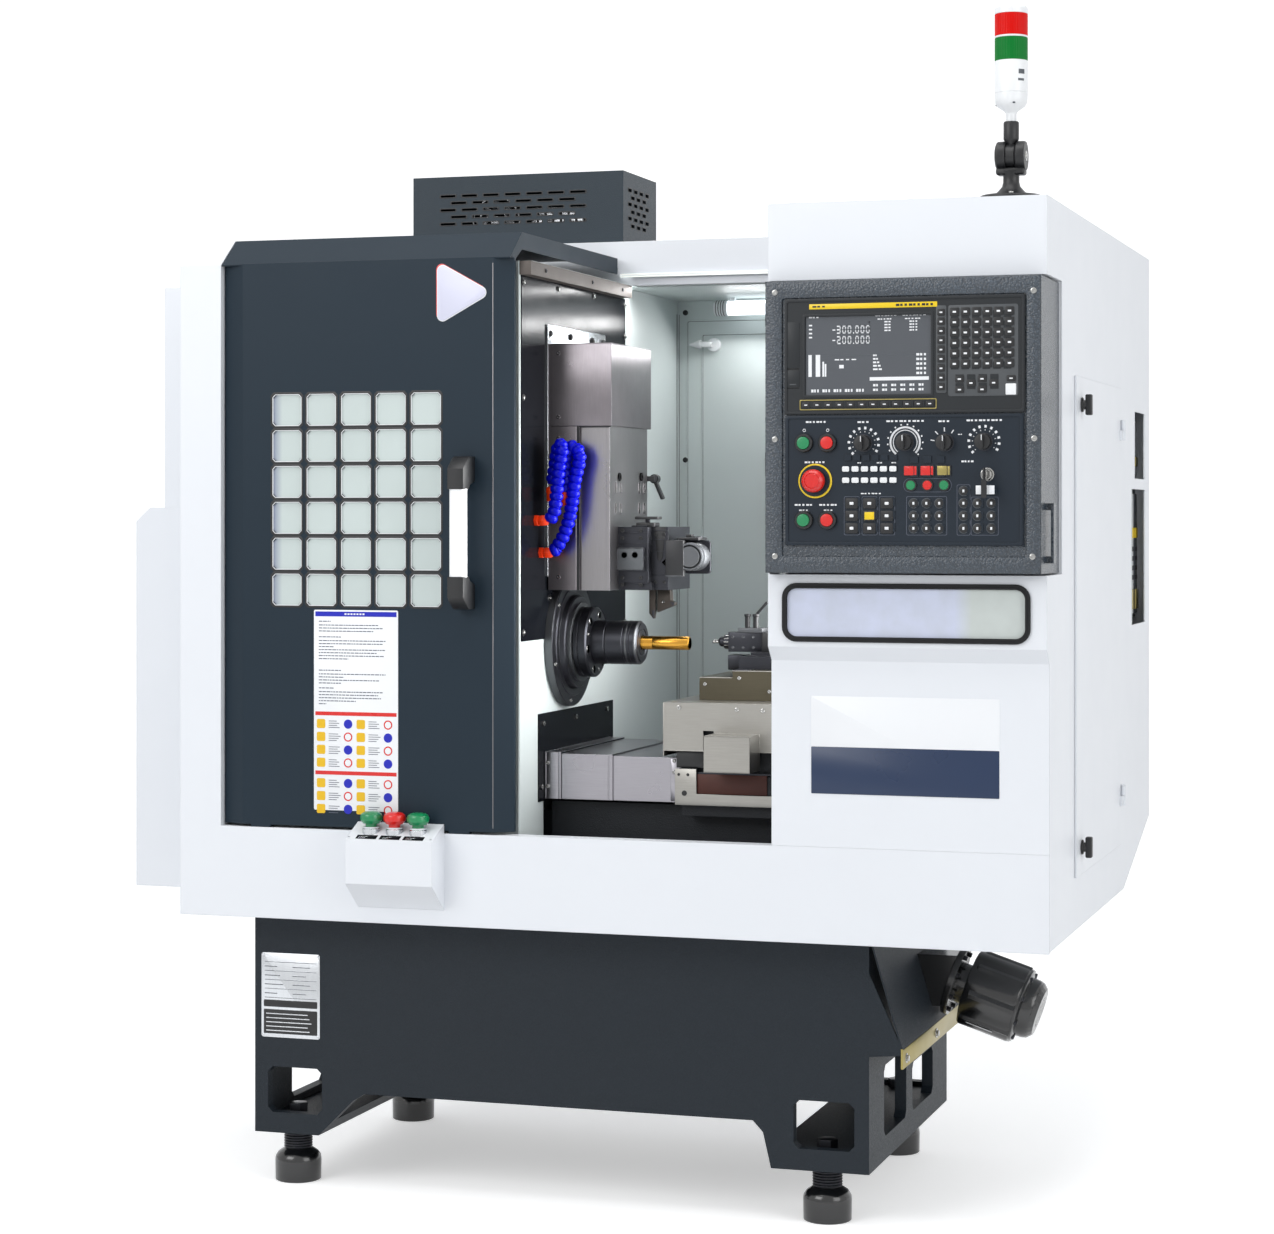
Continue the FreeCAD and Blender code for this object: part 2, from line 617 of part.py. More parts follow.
def front_beam():
    """The beam over the doorway with the light rail along its foot."""
    foot = CHAMBER_TOP
    path = [(8, foot), (0, foot), (0, BEAM_TOP), (d.roof_seam + 9, BEAM_TOP),
            (d.roof_seam + 9, d.roof_top)]
    beam = bent("beam_sheet", "yz", path[::-1], d.sheet, d.body_left + d.sheet, CABINET_LEFT)
    rail = box("beam_rail", (d.spindle_wall + 25, CABINET_LEFT), (-8, 0),
               (foot + d.rail_rise, foot + d.rail_rise + 8))
    lap = box("beam_lap", (d.spindle_wall, CABINET_LEFT), (0, 20), (foot, foot + d.sheet))
    node("front_beam", fused("beam_joined", beam, rail, lap))


def right_cabinet():
    """The cabinet front: lower panel, sloped ledge, window panel, control notch and roof."""
    t = d.sheet
    front, low = CABINET_FRONT, d.body_front
    ledge = d.ledge_top - d.ledge_slope
    path = [(d.roof_seam, d.roof_top), (front, d.roof_top), (front, NOTCH_TOP),
            (NOTCH_BACK, NOTCH_TOP), (NOTCH_BACK, d.notch_bottom), (front, d.notch_bottom),
            (front, d.ledge_top), (low, ledge), (low, d.skirt_top)]
    skin = bent("cabinet_skin", "yz", path, t, CABINET_LEFT, BODY_RIGHT - t)
    depth = d.body_front + 46
    foot = CHAMBER_TOP
    cheek_outline = [(low, d.skirt_top), (low, ledge), (front, d.ledge_top), (front, d.roof_top),
                     (d.roof_seam, d.roof_top), (d.roof_seam, foot), (depth, foot),
                     (depth, d.skirt_top)]
    cheek = padded("cabinet_cheek", "yz", [cheek_outline], CABINET_LEFT, CABINET_LEFT + t)
    side_outline = [(low, d.skirt_top), (low, ledge), (front, d.ledge_top),
                    (front, d.notch_bottom), (low + t, d.notch_bottom), (low + t, d.skirt_top)]
    low_side = padded("cabinet_low_side", "yz", [side_outline], BODY_RIGHT - t, BODY_RIGHT)
    high_side = box("cabinet_high_side", (BODY_RIGHT - t, BODY_RIGHT), (front, low + t),
                    (NOTCH_TOP, d.roof_top))
    whole = fused("cabinet_joined", skin, cheek, low_side, high_side)
    lap = 8
    hole = box("pane_hole", (PANE_LEFT + lap, PANE_RIGHT - lap), (front - 1, front + t + 1),
               (d.pane_bottom + lap, d.pane_top - lap))
    node("right_cabinet", cut("cabinet_open", whole, hole))


def cabinet_window():
    """A rubber ring round the cut edge of the cabinet, and the pane that it holds."""
    front = CABINET_FRONT
    ring, corner = d.rubber, d.pane_radius
    outer = broken_square(PANE_LEFT, PANE_RIGHT, d.pane_bottom, d.pane_top, corner * 0.6)
    inner = broken_square(PANE_LEFT + ring, PANE_RIGHT - ring, d.pane_bottom + ring,
                          d.pane_top - ring, corner * 0.45)
    node("window_frame", padded("rubber_ring", "xz", [outer, inner], front - 5, front))
    lap = 8.5
    node("window_glass", box("glass_sheet", (PANE_LEFT + lap, PANE_RIGHT - lap),
                             (front, front + d.pane), (d.pane_bottom + lap, d.pane_top - lap)))


# ---------------------------------------------------------------- sliding door

def sliding_door():
    """A folded door sheet with a grid of window holes, and the roof cover it carries."""
    t = d.sheet
    front = d.body_front
    deep = front + d.door_depth
    path = [(DOOR_LEFT, deep), (DOOR_LEFT, front + 14), (DOOR_LEFT + 43, front),
            (DOOR_RIGHT - 32, front), (DOOR_RIGHT, deep - 8), (DOOR_RIGHT, deep)]
    face = bent("door_face", "xy", path, t, d.door_bottom, FOLD_TOP)
    hole = broken_square(WINDOW_LEFT, WINDOW_LEFT + d.window_hole, d.window_bottom,
                         d.window_bottom + d.window_hole, d.window_corner)
    sketch, cut_one = pocket(face, "door_window_hole", "xz", front - 5, [hole], 5 + t + 4)
    rows(face, "door_window_grid", sketch, cut_one, d.window_pitch_across, 5,
         d.window_pitch_up, 6)
    slope = front + d.roof_slope_depth
    rear = -d.door_roof_gap
    roof = bent("door_roof", "yz", [(rear, DOOR_ROOF_TOP), (slope, DOOR_ROOF_TOP),
                                    (front, FOLD_TOP - 1)], t, DOOR_LEFT, DOOR_RIGHT)
    drop = DOOR_ROOF_TOP - d.flange
    outline = [(front + 6, FOLD_TOP - 1), (slope, DOOR_ROOF_TOP - 1),
               (rear, DOOR_ROOF_TOP - 1), (rear, drop), (slope, drop), (deep, FOLD_TOP - 1)]
    cheeks = [padded(f"door_cheek_{i}", "yz", [outline], x, x + t)
              for i, x in enumerate((DOOR_LEFT, DOOR_RIGHT - t))]
    shoes = [box(f"door_shoe_{i}", (x, x + 40), (front, front + 14),
                 (d.skirt_top + 0.3, d.door_bottom + t))
             for i, x in enumerate((DOOR_LEFT + 60, DOOR_RIGHT - 120))]
    node("sliding_door", fused("door_joined", face, roof, *cheeks, *shoes))


def door_window():
    """The pale pane behind the door's grid."""
    face = d.body_front + d.sheet
    lap = 12
    wide = d.window_pitch_across * 4 + d.window_hole
    high = d.window_pitch_up * 5 + d.window_hole
    node("door_window", box("door_pane", (WINDOW_LEFT - lap, WINDOW_LEFT + wide + lap),
                            (face, face + d.pane),
                            (d.window_bottom - lap, d.window_bottom + high + lap)))


def door_handle():
    """A round grip between two angular brackets."""
    front = d.body_front
    radius = d.handle_bar_radius
    right = HANDLE_LEFT + 2 * radius + 4
    low, top = d.handle_bottom, d.handle_bottom + d.handle_height
    out = front - d.handle_reach
    foot = d.handle_foot
    under = [(front, low), (front, low + foot), (out, low + foot), (out, low + 14)]
    over = [(front, top), (front, top - foot), (out, top - foot), (out, top - 14)]
    brackets = [padded(f"handle_bracket_{i}", "yz", [outline], HANDLE_LEFT, right)
                for i, outline in enumerate((under, over))]
    grip = rod("handle_grip", "z", radius, low + foot, top - foot,
               (HANDLE_LEFT + radius + 2, out + radius + 4))
    node("door_handle", fused("handle_joined", brackets[0], grip, brackets[1]))


# ---------------------------------------------------------------- control box

def control_box():
    """A hollow steel box hinged at its left edge, with a grab strip on its right side."""
    t = 2
    gap = d.control_gap
    left, right = CABINET_LEFT + d.sheet + 0.5, BODY_RIGHT - 5
    low, high = d.notch_bottom + gap, NOTCH_TOP - gap
    back = NOTCH_BACK - gap
    outer = box("control_outer", (left, right), (CONTROL_FRONT, back), (low, high))
    inner = box("control_inner", (left + t, right - t), (CONTROL_FRONT + t, back - t),
                (low + t, high - t))
    grab_low, grab_high = low + 18, low + 121
    grab_y = CONTROL_FRONT + 56
    feet = [box(f"grab_foot_{i}", (right, right + 14), (grab_y - 6, grab_y + 6), (z, z + 12))
            for i, z in enumerate((grab_low, grab_high - 12))]
    bar = box("grab_bar", (right + 9, right + 14), (grab_y - 12, grab_y + 12),
              (grab_low, grab_high))
    node("control_box", fused("control_joined", cut("control_shell", outer, inner), bar, *feet))


def keys(prefix, left, bottom, pitch, count, size, proud):
    """A block of square keys that stand on a panel face; pitch, count and size run x, z."""
    pieces = []
    for i in range(count[0]):
        for j in range(count[1]):
            x = left + pitch[0] * i
            z = bottom + pitch[1] * j
            pieces.append(box(f"{prefix}_{i}_{j}", (x, x + size[0]),
                              (PANEL_FACE - proud, PANEL_FACE), (z, z + size[1])))
    return pieces


def display_unit():
    """Display and key unit: bezel with a sunk screen, soft keys and a key field."""
    left, low = DISPLAY_LEFT, d.display_bottom
    top = low + d.display_height
    plate = box("display_plate", (left, DISPLAY_RIGHT), (PANEL_FACE, CONTROL_FRONT), (low, top))
    screen = box("screen_recess", (left + 36, left + 260), (PANEL_FACE - 1, PANEL_FACE + 3),
                 (low + 32, top - 30))
    card = box("card_recess", (left + 4, left + 26), (PANEL_FACE - 1, PANEL_FACE + 2),
               (low + 45, low + 155))
    soft = keys("soft_key", left + 38, low + 12, (19.6, 0), (11, 1), (14, 9), 1.5)
    column = keys("side_key", left + 271, low + 40, (0, 16), (1, 8), (12, 11), 1.5)
    field = keys("field_key", left + 294, low + 74, (18.2, 17.5), (6, 6), (13, 12), 1.5)
    arrows = keys("arrow_key", left + 302, low + 40, (20, 15), (4, 2), (14, 10), 1.5)
    sunk = cut("display_sunk", plate, screen, card)
    node("display_unit", fused("display_joined", sunk, *soft, *column, *field, *arrows))


# Centres of the operator panel's controls, from the panel's left and bottom edges.
KNOB_SPOTS = {"mode_knob": (140, 177), "feed_knob": (213, 178), "spindle_knob": (283, 177),
              "rapid_knob": (350, 178)}
BUTTON_SPOTS = {"power_on_button": (34, 178), "power_off_button": (76, 178),
                "start_button": (34, 44), "hold_button": (76, 44)}
STOP_SPOT = (54, 112)
KEY_SPOT = (356, 122)


def panel_spot(spot):
    return DISPLAY_LEFT + 1 + spot[0], d.panel_bottom + spot[1]


def operator_panel():
    """The panel plate with its key blocks and the guide bushes of its buttons."""
    left = DISPLAY_LEFT + 1
    low = d.panel_bottom
    plate = box("panel_plate", (left, DISPLAY_RIGHT - 2), (PANEL_FACE, CONTROL_FRONT),
                (low, low + d.panel_height))
    floor = CONTROL_FRONT - 1
    raised, wells = [], []
    for name, spot in BUTTON_SPOTS.items():
        raised.append(prism(name + "_bezel", "y", FLATS, d.bezel_radius, PANEL_FACE - 7,
                            PANEL_FACE, panel_spot(spot)))
        wells.append(prism(name + "_well", "y", FLATS, d.button_radius + 0.4, PANEL_FACE - 8,
                           floor, panel_spot(spot)))
    raised.append(rod("stop_ring", "y", d.stop_ring_radius, PANEL_FACE - 4, PANEL_FACE,
                      panel_spot(STOP_SPOT)))
    wells.append(prism("stop_well", "y", FLATS, d.button_radius + 0.4, PANEL_FACE - 5, floor,
                       panel_spot(STOP_SPOT)))
    raised += keys("white_key", left + 106, low + 128, (16.2, 19), (6, 2), (12, 10), 3)
    raised += keys("square_key", left + 118, low + 24, (30, 22), (3, 3), (17, 15), 2)
    raised += keys("lamp_key", left + 222, low + 118, (23, 24), (3, 2), (14, 12), 3)
    raised += keys("jog_key", left + 222, low + 24, (23, 21), (3, 3), (14, 13), 2)
    raised += keys("tall_key", left + 312, low + 24, (23, 21), (3, 4), (14, 13), 2)
    whole = fused("panel_raised", plate, *raised)
    node("operator_panel", cut("panel_bored", whole, *wells))


def panel_controls():
    """Push buttons, emergency stop, knobs and key, each on its own stem or spindle."""
    for name, spot in BUTTON_SPOTS.items():
        face = PANEL_FACE - 7 - d.press_travel
        floor = CONTROL_FRONT - 1 - d.press_travel - 0.2
        node(name, prism(name + "_cap", "y", FLATS, d.button_radius, face, floor,
                         panel_spot(spot)))
    ring = PANEL_FACE - 4
    head = ring - d.stop_travel - 1
    cap = prism("stop_cap", "y", FLATS, d.stop_radius, head - 16, head, panel_spot(STOP_SPOT))
    stem = prism("stop_stem", "y", FLATS, d.button_radius, head,
                 CONTROL_FRONT - 1 - d.stop_travel - 0.2, panel_spot(STOP_SPOT))
    node("emergency_stop", fused("stop_joined", bevelled(cap, "foot", 5), stem))
    for name, spot in KNOB_SPOTS.items():
        node(name, knob(name, *panel_spot(spot)))
    x, z = panel_spot(KEY_SPOT)
    barrel = prism("key_barrel", "y", FLATS, 9, PANEL_FACE - 12, PANEL_FACE - 0.3, (x, z))
    bow = box("key_bow", (x - 1.5, x + 1.5), (PANEL_FACE - 38, PANEL_FACE - 12), (z - 11, z + 11))
    node("key_switch", fused("key_joined", barrel, bow))


def knob(name, x, z):
    """A twelve-sided grip with a raised pointer rib."""
    start = PANEL_FACE - 18
    grip = prism(name + "_grip", "y", 12, d.knob_radius, start, PANEL_FACE - 0.3, (x, z))
    rib = box(name + "_rib", (x - 2.5, x + 2.5), (start - 7, start),
              (z - d.knob_radius + 2, z + d.knob_radius - 2))
    return fused(name + "_joined", grip, rib)


PALM_NAMES = ("palm_button_left", "palm_button_middle", "palm_button_right")


def palm_buttons():
    """The sheet box on the skirt with three mushroom buttons on its sloped top."""
    front = d.body_front
    out = front - d.palm_reach
    right = d.palm_left + d.palm_width
    low, top = d.palm_bottom, d.palm_top
    outline = [(front, low), (front, top + 22), (out, top - 4), (out, low + d.palm_slope)]
    inner = [(front - 2, low + 4), (front - 2, top + 19), (out + 2, top - 7),
             (out + 2, low + d.palm_slope + 2)]
    shell = cut("palm_shell", padded("palm_outer", "yz", [outline], d.palm_left, right),
                padded("palm_inner", "yz", [inner], d.palm_left + 2, right - 2))
    y = front - d.palm_reach / 2
    seat = top + 17
    collars, bores = [], []
    for i, name in enumerate(PALM_NAMES):
        x = d.palm_left + d.palm_width * (0.23 + 0.27 * i)
        collars.append(prism(name + "_collar", "z", 16, 15, top - 1, seat, (x, y)))
        bores.append(prism(name + "_bore", "z", 16, 11.3, top - 20, seat + 1, (x, y)))
        under = seat + d.palm_travel + 1
        stem = prism(name + "_stem", "z", 16, 11, under - 30, under, (x, y))
        cap = bevelled(prism(name + "_cap", "z", FLATS, d.palm_radius, under, under + 14, (x, y)),
                       "head", 6)
        node(name, fused(name + "_joined", stem, cap))
    node("palm_button_box", cut("palm_bored", fused("palm_collared", shell, *collars), *bores))


# ---------------------------------------------------------------- side door

def side_door():
    """A plain door over the side opening, with a stiffening ring, hinges and two latches."""
    face = BODY_RIGHT + 0.5
    skin = face + d.sheet
    front, rear = d.side_door_front, d.side_door_rear
    low, high = d.side_door_bottom, d.side_door_top
    leaf = box("side_leaf", (face, skin), (front, rear), (low, high))
    inset_front, inset_rear = 24, 50
    ring = box("side_ring_outer", (BODY_RIGHT - 12, face), (front + inset_front, rear - inset_rear),
               (low + inset_front, high - inset_front))
    room = box("side_ring_inner", (BODY_RIGHT - 13, face - 0.1),
               (front + inset_front + 3, rear - inset_rear - 3),
               (low + inset_front + 3, high - inset_front - 3))
    axis_x = BODY_RIGHT + d.hinge_reach
    hinges = []
    for i, z in enumerate(HINGE_Z):
        hinges.append(prism(f"door_knuckle_{i}", "z", 12, d.hinge_radius, z - 20, z,
                            (axis_x, rear)))
        hinges.append(box(f"door_leaf_{i}", (skin, axis_x), (rear - 16, rear), (z - 20, z)))
    latch_y = front + d.latch_inset
    bores = []
    for name, z in (("side_latch_low", d.latch_low), ("side_latch_high", d.latch_high)):
        bores.append(prism(name + "_bore", "x", FLATS, 8.2, BODY_RIGHT - 13, skin + 1,
                           (latch_y, z)))
        stem = prism(name + "_stem", "x", FLATS, 8, BODY_RIGHT - 8, skin + 8, (latch_y, z))
        wing = box(name + "_wing", (skin + 8, skin + 20), (latch_y - 7, latch_y + 7),
                   (z - 19, z + 19))
        node(name, fused(name + "_joined", stem, wing))
    whole = fused("side_leaf_joined", leaf, cut("side_ring", ring, room), *hinges)
    node("side_door", cut("side_leaf_bored", whole, *bores))


# ---------------------------------------------------------------- spindle

def headstock():
    """The headstock casting on its pedestal, with the nose flange and the motor case."""
    wall = d.spindle_wall
    y, z = SPINDLE
    case = d.motor_radius
    block = box("headstock_block", (d.headstock_left, wall - 8), (y - case, y + case),
                (z - case - 7, z + case + 7))
    pedestal = box("headstock_pedestal", (d.headstock_left, -260), (y - 100, y + 100),
                   (BASE_TOP, z - case - 7))
    flange = rod("nose_flange", "x", d.nose_flange_radius, wall + 2,
                 wall + 2 + d.nose_flange_thick, SPINDLE)
    hub = rod("nose_hub", "x", d.hub_radius, wall - 8, wall + d.hub_reach, SPINDLE)
    motor = prism("motor_case", "x", FLATS, case, d.motor_left, d.headstock_left, SPINDLE)
    foot = box("motor_foot", (d.motor_left, d.headstock_left), (y - 60, y + 60),
               (BASE_TOP, z - case * 0.7))
    bore = rod("headstock_bore", "x", d.shaft_radius + d.running_gap, d.motor_left - 1,
               wall + d.hub_reach + 1, SPINDLE)
    whole = fused("headstock_joined", block, pedestal, flange, hub, motor, foot)
    node("headstock_casting", cut("headstock_bored", whole, bore))


def spindle():
    """The shaft with its grooved front ring, the collet chuck and the bar it grips."""
    start = d.spindle_wall + d.hub_reach + 1
    ring = d.ring_radius
    shaft = turned("shaft_turned", "x", [
        (d.shaft_radius, d.motor_left - 60), (d.shaft_radius, start), (ring, start),
        (ring, d.chuck_start)], SPINDLE)
    node("spindle_shaft", shaft)
    r, nose = d.chuck_radius, d.chuck_end
    chuck = turned("chuck_turned", "x", [(r, d.chuck_start), (r, nose - 4), (r - 4, nose)],
                   SPINDLE)
    grip = rod("chuck_bore", "x", d.bar_radius, nose - 40, nose + 1, SPINDLE)
    node("collet_chuck", cut("chuck_bored", chuck, grip))
    node("work_bar", rod("bar_stock", "x", d.bar_radius, nose - 40, d.bar_end, SPINDLE))


# ---------------------------------------------------------------- bed and carriage

def bed_casting():
    """The bed with its two ways, standing on the base."""
    left = d.spindle_wall + 4
    body = box("bed_body", (left, BED_RIGHT), (d.bed_front, d.bed_back), (BASE_TOP, d.bed_top))
    tail = box("bed_tail", (-250, left), (d.bed_front + 20, d.bed_back - 20),
               (BASE_TOP, d.bed_top - 20))
    ways = [box(f"bed_way_{i}", (left, BED_RIGHT - 10), (y, y + 40),
                (d.bed_top, d.bed_top + d.way_height))
            for i, y in enumerate((d.bed_front + 50, d.bed_back - 90))]
    node("bed_casting", fused("bed_joined", body, tail, *ways))


def hood(name, left, right, grow):
    """One section of the telescopic cover: a sheet hood open below."""
    front, back = d.cover_front + grow, d.cover_back - grow
    top = d.cover_top - grow
    path = [(back, d.cover_bottom), (back, top), (front, top), (front, d.cover_bottom)]
    return bent(name, "yz", path, 2, left, right)


def way_cover():
    """The sliding hoods of the way cover: the middle one, and the one on the saddle."""
    wall = d.spindle_wall
    node("way_cover_middle", hood("hood_middle", wall - 56, wall + 136, d.cover_step))
    node("way_cover_inner", hood("hood_inner", wall + 45, d.carriage_left + 30,
                                 2 * d.cover_step))


def carriage():
    """The saddle on the ways, and its sheet cover with the motor box."""
    t = 2
    left, right = d.carriage_left, d.carriage_right
    front, back, top = d.carriage_front, d.carriage_back, d.carriage_top
    seat = d.bed_top + d.way_height + 0.3
    start = left + 30
    block = box("saddle_block", (start, right), (front + 20, back - 8), (seat, top - t))
    apron = box("saddle_apron", (left + 68, right), (front + 6, front + 20), (seat + 4, seat + 42))
    bracket = box("saddle_bracket", (start, left + 64), (front + 2, front + 20),
                  (seat - 12, seat + 55))
    strip = box("saddle_strip", (start, right), (front + 2, front + 20), (seat - 12, seat + 4))
    gibs = [box("saddle_gib_front", (start, right), (front + 20, d.bed_front - 0.5),
                (seat - 34, seat)),
            box("saddle_gib_back", (start, right), (d.bed_back + 0.5, back - 8),
                (seat - 34, seat))]
    node("saddle", fused("saddle_joined", block, apron, bracket, strip, *gibs))
    path = [(back, d.carriage_bottom), (back, top), (front, top), (front, d.carriage_bottom)]
    cover = bent("carriage_hood", "yz", path, t, left, right + 40)
    end = box("carriage_end", (left, left + t), (front, back), (d.cover_top + 1, top))
    box_left, box_right = d.motor_box_left, d.motor_box_left + d.motor_box_width
    box_low, box_top = d.motor_box_bottom, d.motor_box_bottom + d.motor_box_height
    notch = box("motor_box_notch", (box_left - 20, box_right), (front - 1, front + t + 1),
                (d.carriage_bottom - 1, box_top + 4))
    motor = box("motor_box", (box_left, box_right), (d.motor_box_front, front + 6),
                (box_low, box_top))
    flange = box("motor_box_flange", (box_left, box_right), (front, front + t),
                 (box_top - 1, box_top + 5))
    open_cover = cut("carriage_cover_cut", fused("carriage_cover_joined", cover, end), notch)
    node("carriage_cover", fused("carriage_cover_whole", open_cover, motor, flange))


def cross_slide():
    """The cross slide on the saddle, and the drilling unit with its drill."""
    low, top = d.carriage_top + 0.3, d.cross_top
    front, back = d.cross_front, d.cross_back
    base = box("cross_base", (d.cross_left, d.cross_right), (front, back), (low, top))
    step = box("cross_step", (d.cross_left + 64, d.cross_right), (front, back),
               (top, top + d.cross_step))
    node("cross_slide", fused("cross_joined", base, step))
    seat = top + d.cross_step
    y, z = d.drill_y, d.drill_z
    pad_left = d.drill_tip + 76
    pad = box("unit_pad", (pad_left, d.cross_right - 20), (-380, back - 20), (seat, seat + 24))
    post = box("unit_post", (pad_left + 10, 460), (y - 35, y + 35), (seat + 24, z - 18))
    housing = box("unit_housing", (d.drill_tip + 39, 470), (y - 22, y + 22), (z - 18, z + 19))
    grip = d.drill_holder_radius
    hole = rod("unit_bore", "x", grip + d.running_gap, d.drill_tip + 38, d.drill_tip + 136, (y, z))
    node("drilling_unit", cut("unit_bored", fused("unit_joined", pad, post, housing), hole))
    tip = d.drill_tip
    bit = prism("drill_bit", "x", 8, d.drill_radius, tip, tip + 16, (y, z))
    holder = prism("drill_holder", "x", FLATS, grip, tip + 16, tip + 135, (y, z))
    node("drill", fused("drill_joined", bevelled(bit, "foot", d.drill_radius * 0.8), holder))


# ---------------------------------------------------------------- vertical slide

def vertical_slide():
    """The slide's fixed shell on its wall plate, and the cover that travels inside it."""
    t = 2
    left, right = d.shell_left, d.shell_right
    front, back = d.shell_front, d.shell_back
    low, fold, top = d.shell_bottom, SHELL_BREAK, SHELL_TOP
    plate = box("slide_plate", (d.spindle_wall + 2, left), (front - 4, -119),
                (d.spindle_z + d.nose_flange_radius + 4, PLATE_TOP))
    outer = box("slide_outer", (left, right), (front, back), (fold, top))
    room = box("slide_room", (d.shell_cut, right - t), (front + t, back - t), (fold - 1, top - t))
    column = box("slide_column", (left, d.shell_cut), (front, back), (low, top - t))
    shell = cut("slide_shell_cut", outer, room)
    node("slide_shell", fused("slide_shell_joined", plate, shell, column))
    gap = d.slide_gap
    node("slide_cover", box("slide_cover_block", (d.shell_cut + 0.5, right - t - gap),
                            (front + t + gap, back - t - gap),
                            (low, top - t - d.slide_rise - 1)))


def tool_block():
    """The tool block on the travelling cover, with its live tool motor and turning tools."""
    left = d.shell_right - 2 - d.slide_gap
    right, low, top = d.block_right, d.shell_bottom, d.block_top
    front, back = d.block_front, d.block_back
    body = box("block_body", (left, right), (front, back), (low + 14, top))
    lower = box("block_lower", (left, right + 4), (front + 4, back), (low, low + 14))
    clamp = box("block_clamp", (left, left + 53), (front - 8, front), (top - 82, top - 39))
    holder_right = right + 33
    outline = [(right, low), (holder_right, low), (holder_right, low + 40), (right + 20, low + 52),
               (holder_right, low + 64), (holder_right, top), (right, top)]
    holder = padded("tool_holder", "xz", [outline], front + 20, back)
    live = box("live_body", (holder_right, holder_right + 25), (-390, -300), (1166, 1228))
    flange = box("live_flange", (holder_right + 25, holder_right + 71), (-350, -344), (1166, 1228))
    barrel = prism("live_barrel", "y", FLATS, 26, -402, -350, (holder_right + 48, 1198))
    node("tool_block", fused("tool_block_joined", body, lower, clamp, holder, live, flange,
                             barrel))
    y, tip, x = d.spindle_y, d.tool_tip_z, d.tool_tip_x
    first = [(x - 8, low), (x + 4, low), (x + 4, tip + 14), (x, tip), (x - 8, tip + 10)]
    second = [(x + 8, low), (x + 34, low), (x + 34, tip + 34), (x + 43, tip + 31),
              (x + 43, tip + 26), (x + 8, tip + 12)]
    tools = [padded(f"turning_tool_{i}", "xz", [outline], y - 8, y + 8)
             for i, outline in enumerate((first, second))]
    node("turning_tools", grouped("tool_pair", tools))


# Points along the two coolant hoses, from the wall fitting over the loop to the nozzle.
HOSE_ROUTES = [
    [(-63, -525, 1264), (-45, -520, 1271), (-26, -515, 1295), (-5, -510, 1326), (2, -508, 1363),
     (-2, -505, 1393), (-18, -503, 1413), (-36, -502, 1393), (-50, -502, 1345),
     (-56, -501, 1318)],
    [(-66, -500, 1206), (-50, -495, 1211), (-31, -488, 1237), (-22, -482, 1271),
     (-32, -479, 1297), (-47, -478, 1330), (-51, -478, 1366), (-47, -478, 1398),
     (-35, -478, 1411), (-21, -478, 1392), (-24, -484, 1352)],
]


def coolant_hoses():
    """Two jointed coolant hoses on elbow fittings at the wall, each with a nozzle."""
    wall = d.spindle_wall + 2
    pieces = []
    for i, route in enumerate(HOSE_ROUTES):
        x, y, z = route[0]
        links = [prism(f"hose_elbow_{i}", "x", 8, d.hose_radius + 2, wall, x + 3, (y, z))]
        for j, (low, high) in enumerate(zip(route, route[1:])):
            links.append(strut(f"hose_{i}_{j}", d.hose_radius, low, high))
        end, before = route[-1], route[-2]
        tip = [e + (e - b) * 0.55 for e, b in zip(end, before)]
        links.append(strut(f"hose_nozzle_{i}", 4, end, tip))
        pieces.append(fused(f"hose_{i}", *links))
    node("coolant_hoses", grouped("hose_pair", pieces))


def strut(name, radius, start, end):
    """A straight length between two points, run on a little at both ends."""
    bar = doc.addObject("Part::Prism", name)
    bar.Polygon = 6
    way = Vector(*end) - Vector(*start)
    lap = way * (2 / way.Length)
    bind(bar, "Circumradius", radius)
    bar.Height = way.Length + 4
    bar.Placement.Rotation = Rotation(Vector(0, 0, 1), way)
    bar.Placement.Base = Vector(*start) - lap
    return bar


def work_light():
    """A tubular lamp under the chamber ceiling."""
    start, end = 17, 330
    y, z = 330, CHAMBER_TOP - 25
    tube = prism("lamp_tube", "x", 12, 17, start, end, (y, z))
    foot = box("lamp_foot", (start + 20, end - 20), (y - 8, y + 8), (z, CHAMBER_TOP - d.sheet))
    node("work_light", fused("lamp_joined", tube, foot))


# ---------------------------------------------------------------- roof, tower, rear

def roof_vent_box():
    """A folded box on the roof with staggered slots in its front and right side."""
    t = 2
    left, right = d.vent_left, d.vent_left + d.vent_width
    front, back = d.vent_front, d.vent_front + d.vent_depth
    top = VENT_TOP
    outer = box("vent_outer", (left, right), (front, back), (d.roof_top, top))
    room = box("vent_room", (left + t, right - t), (front + t, back - t), (d.roof_top - 1, top - t))
    slots = []
    for row in range(5):
        shift = row % 2
        z = top - 43 - d.slot_rise * row
        for i in range(7 - shift):
            x = left + 62 + d.slot_pitch * (i + 0.5 * shift)
            slots.append(box(f"vent_slot_{row}_{i}", (x, x + d.slot_length),
                             (front - 1, front + t + 1), (z, z + d.slot_height)))
    for row in range(6):
        shift = row % 2
        z = top - 40 - d.slot_rise * row
        for i in range(4 - shift):
            y = front + 34 + d.side_slot_pitch * (i + 0.5 * shift)
            slots.append(box(f"vent_hole_{row}_{i}", (right - t - 1, right + 1), (y, y + 22),
                             (z, z + 7)))
    node("roof_vent_box", cut("vent_slotted", outer, room, *slots))


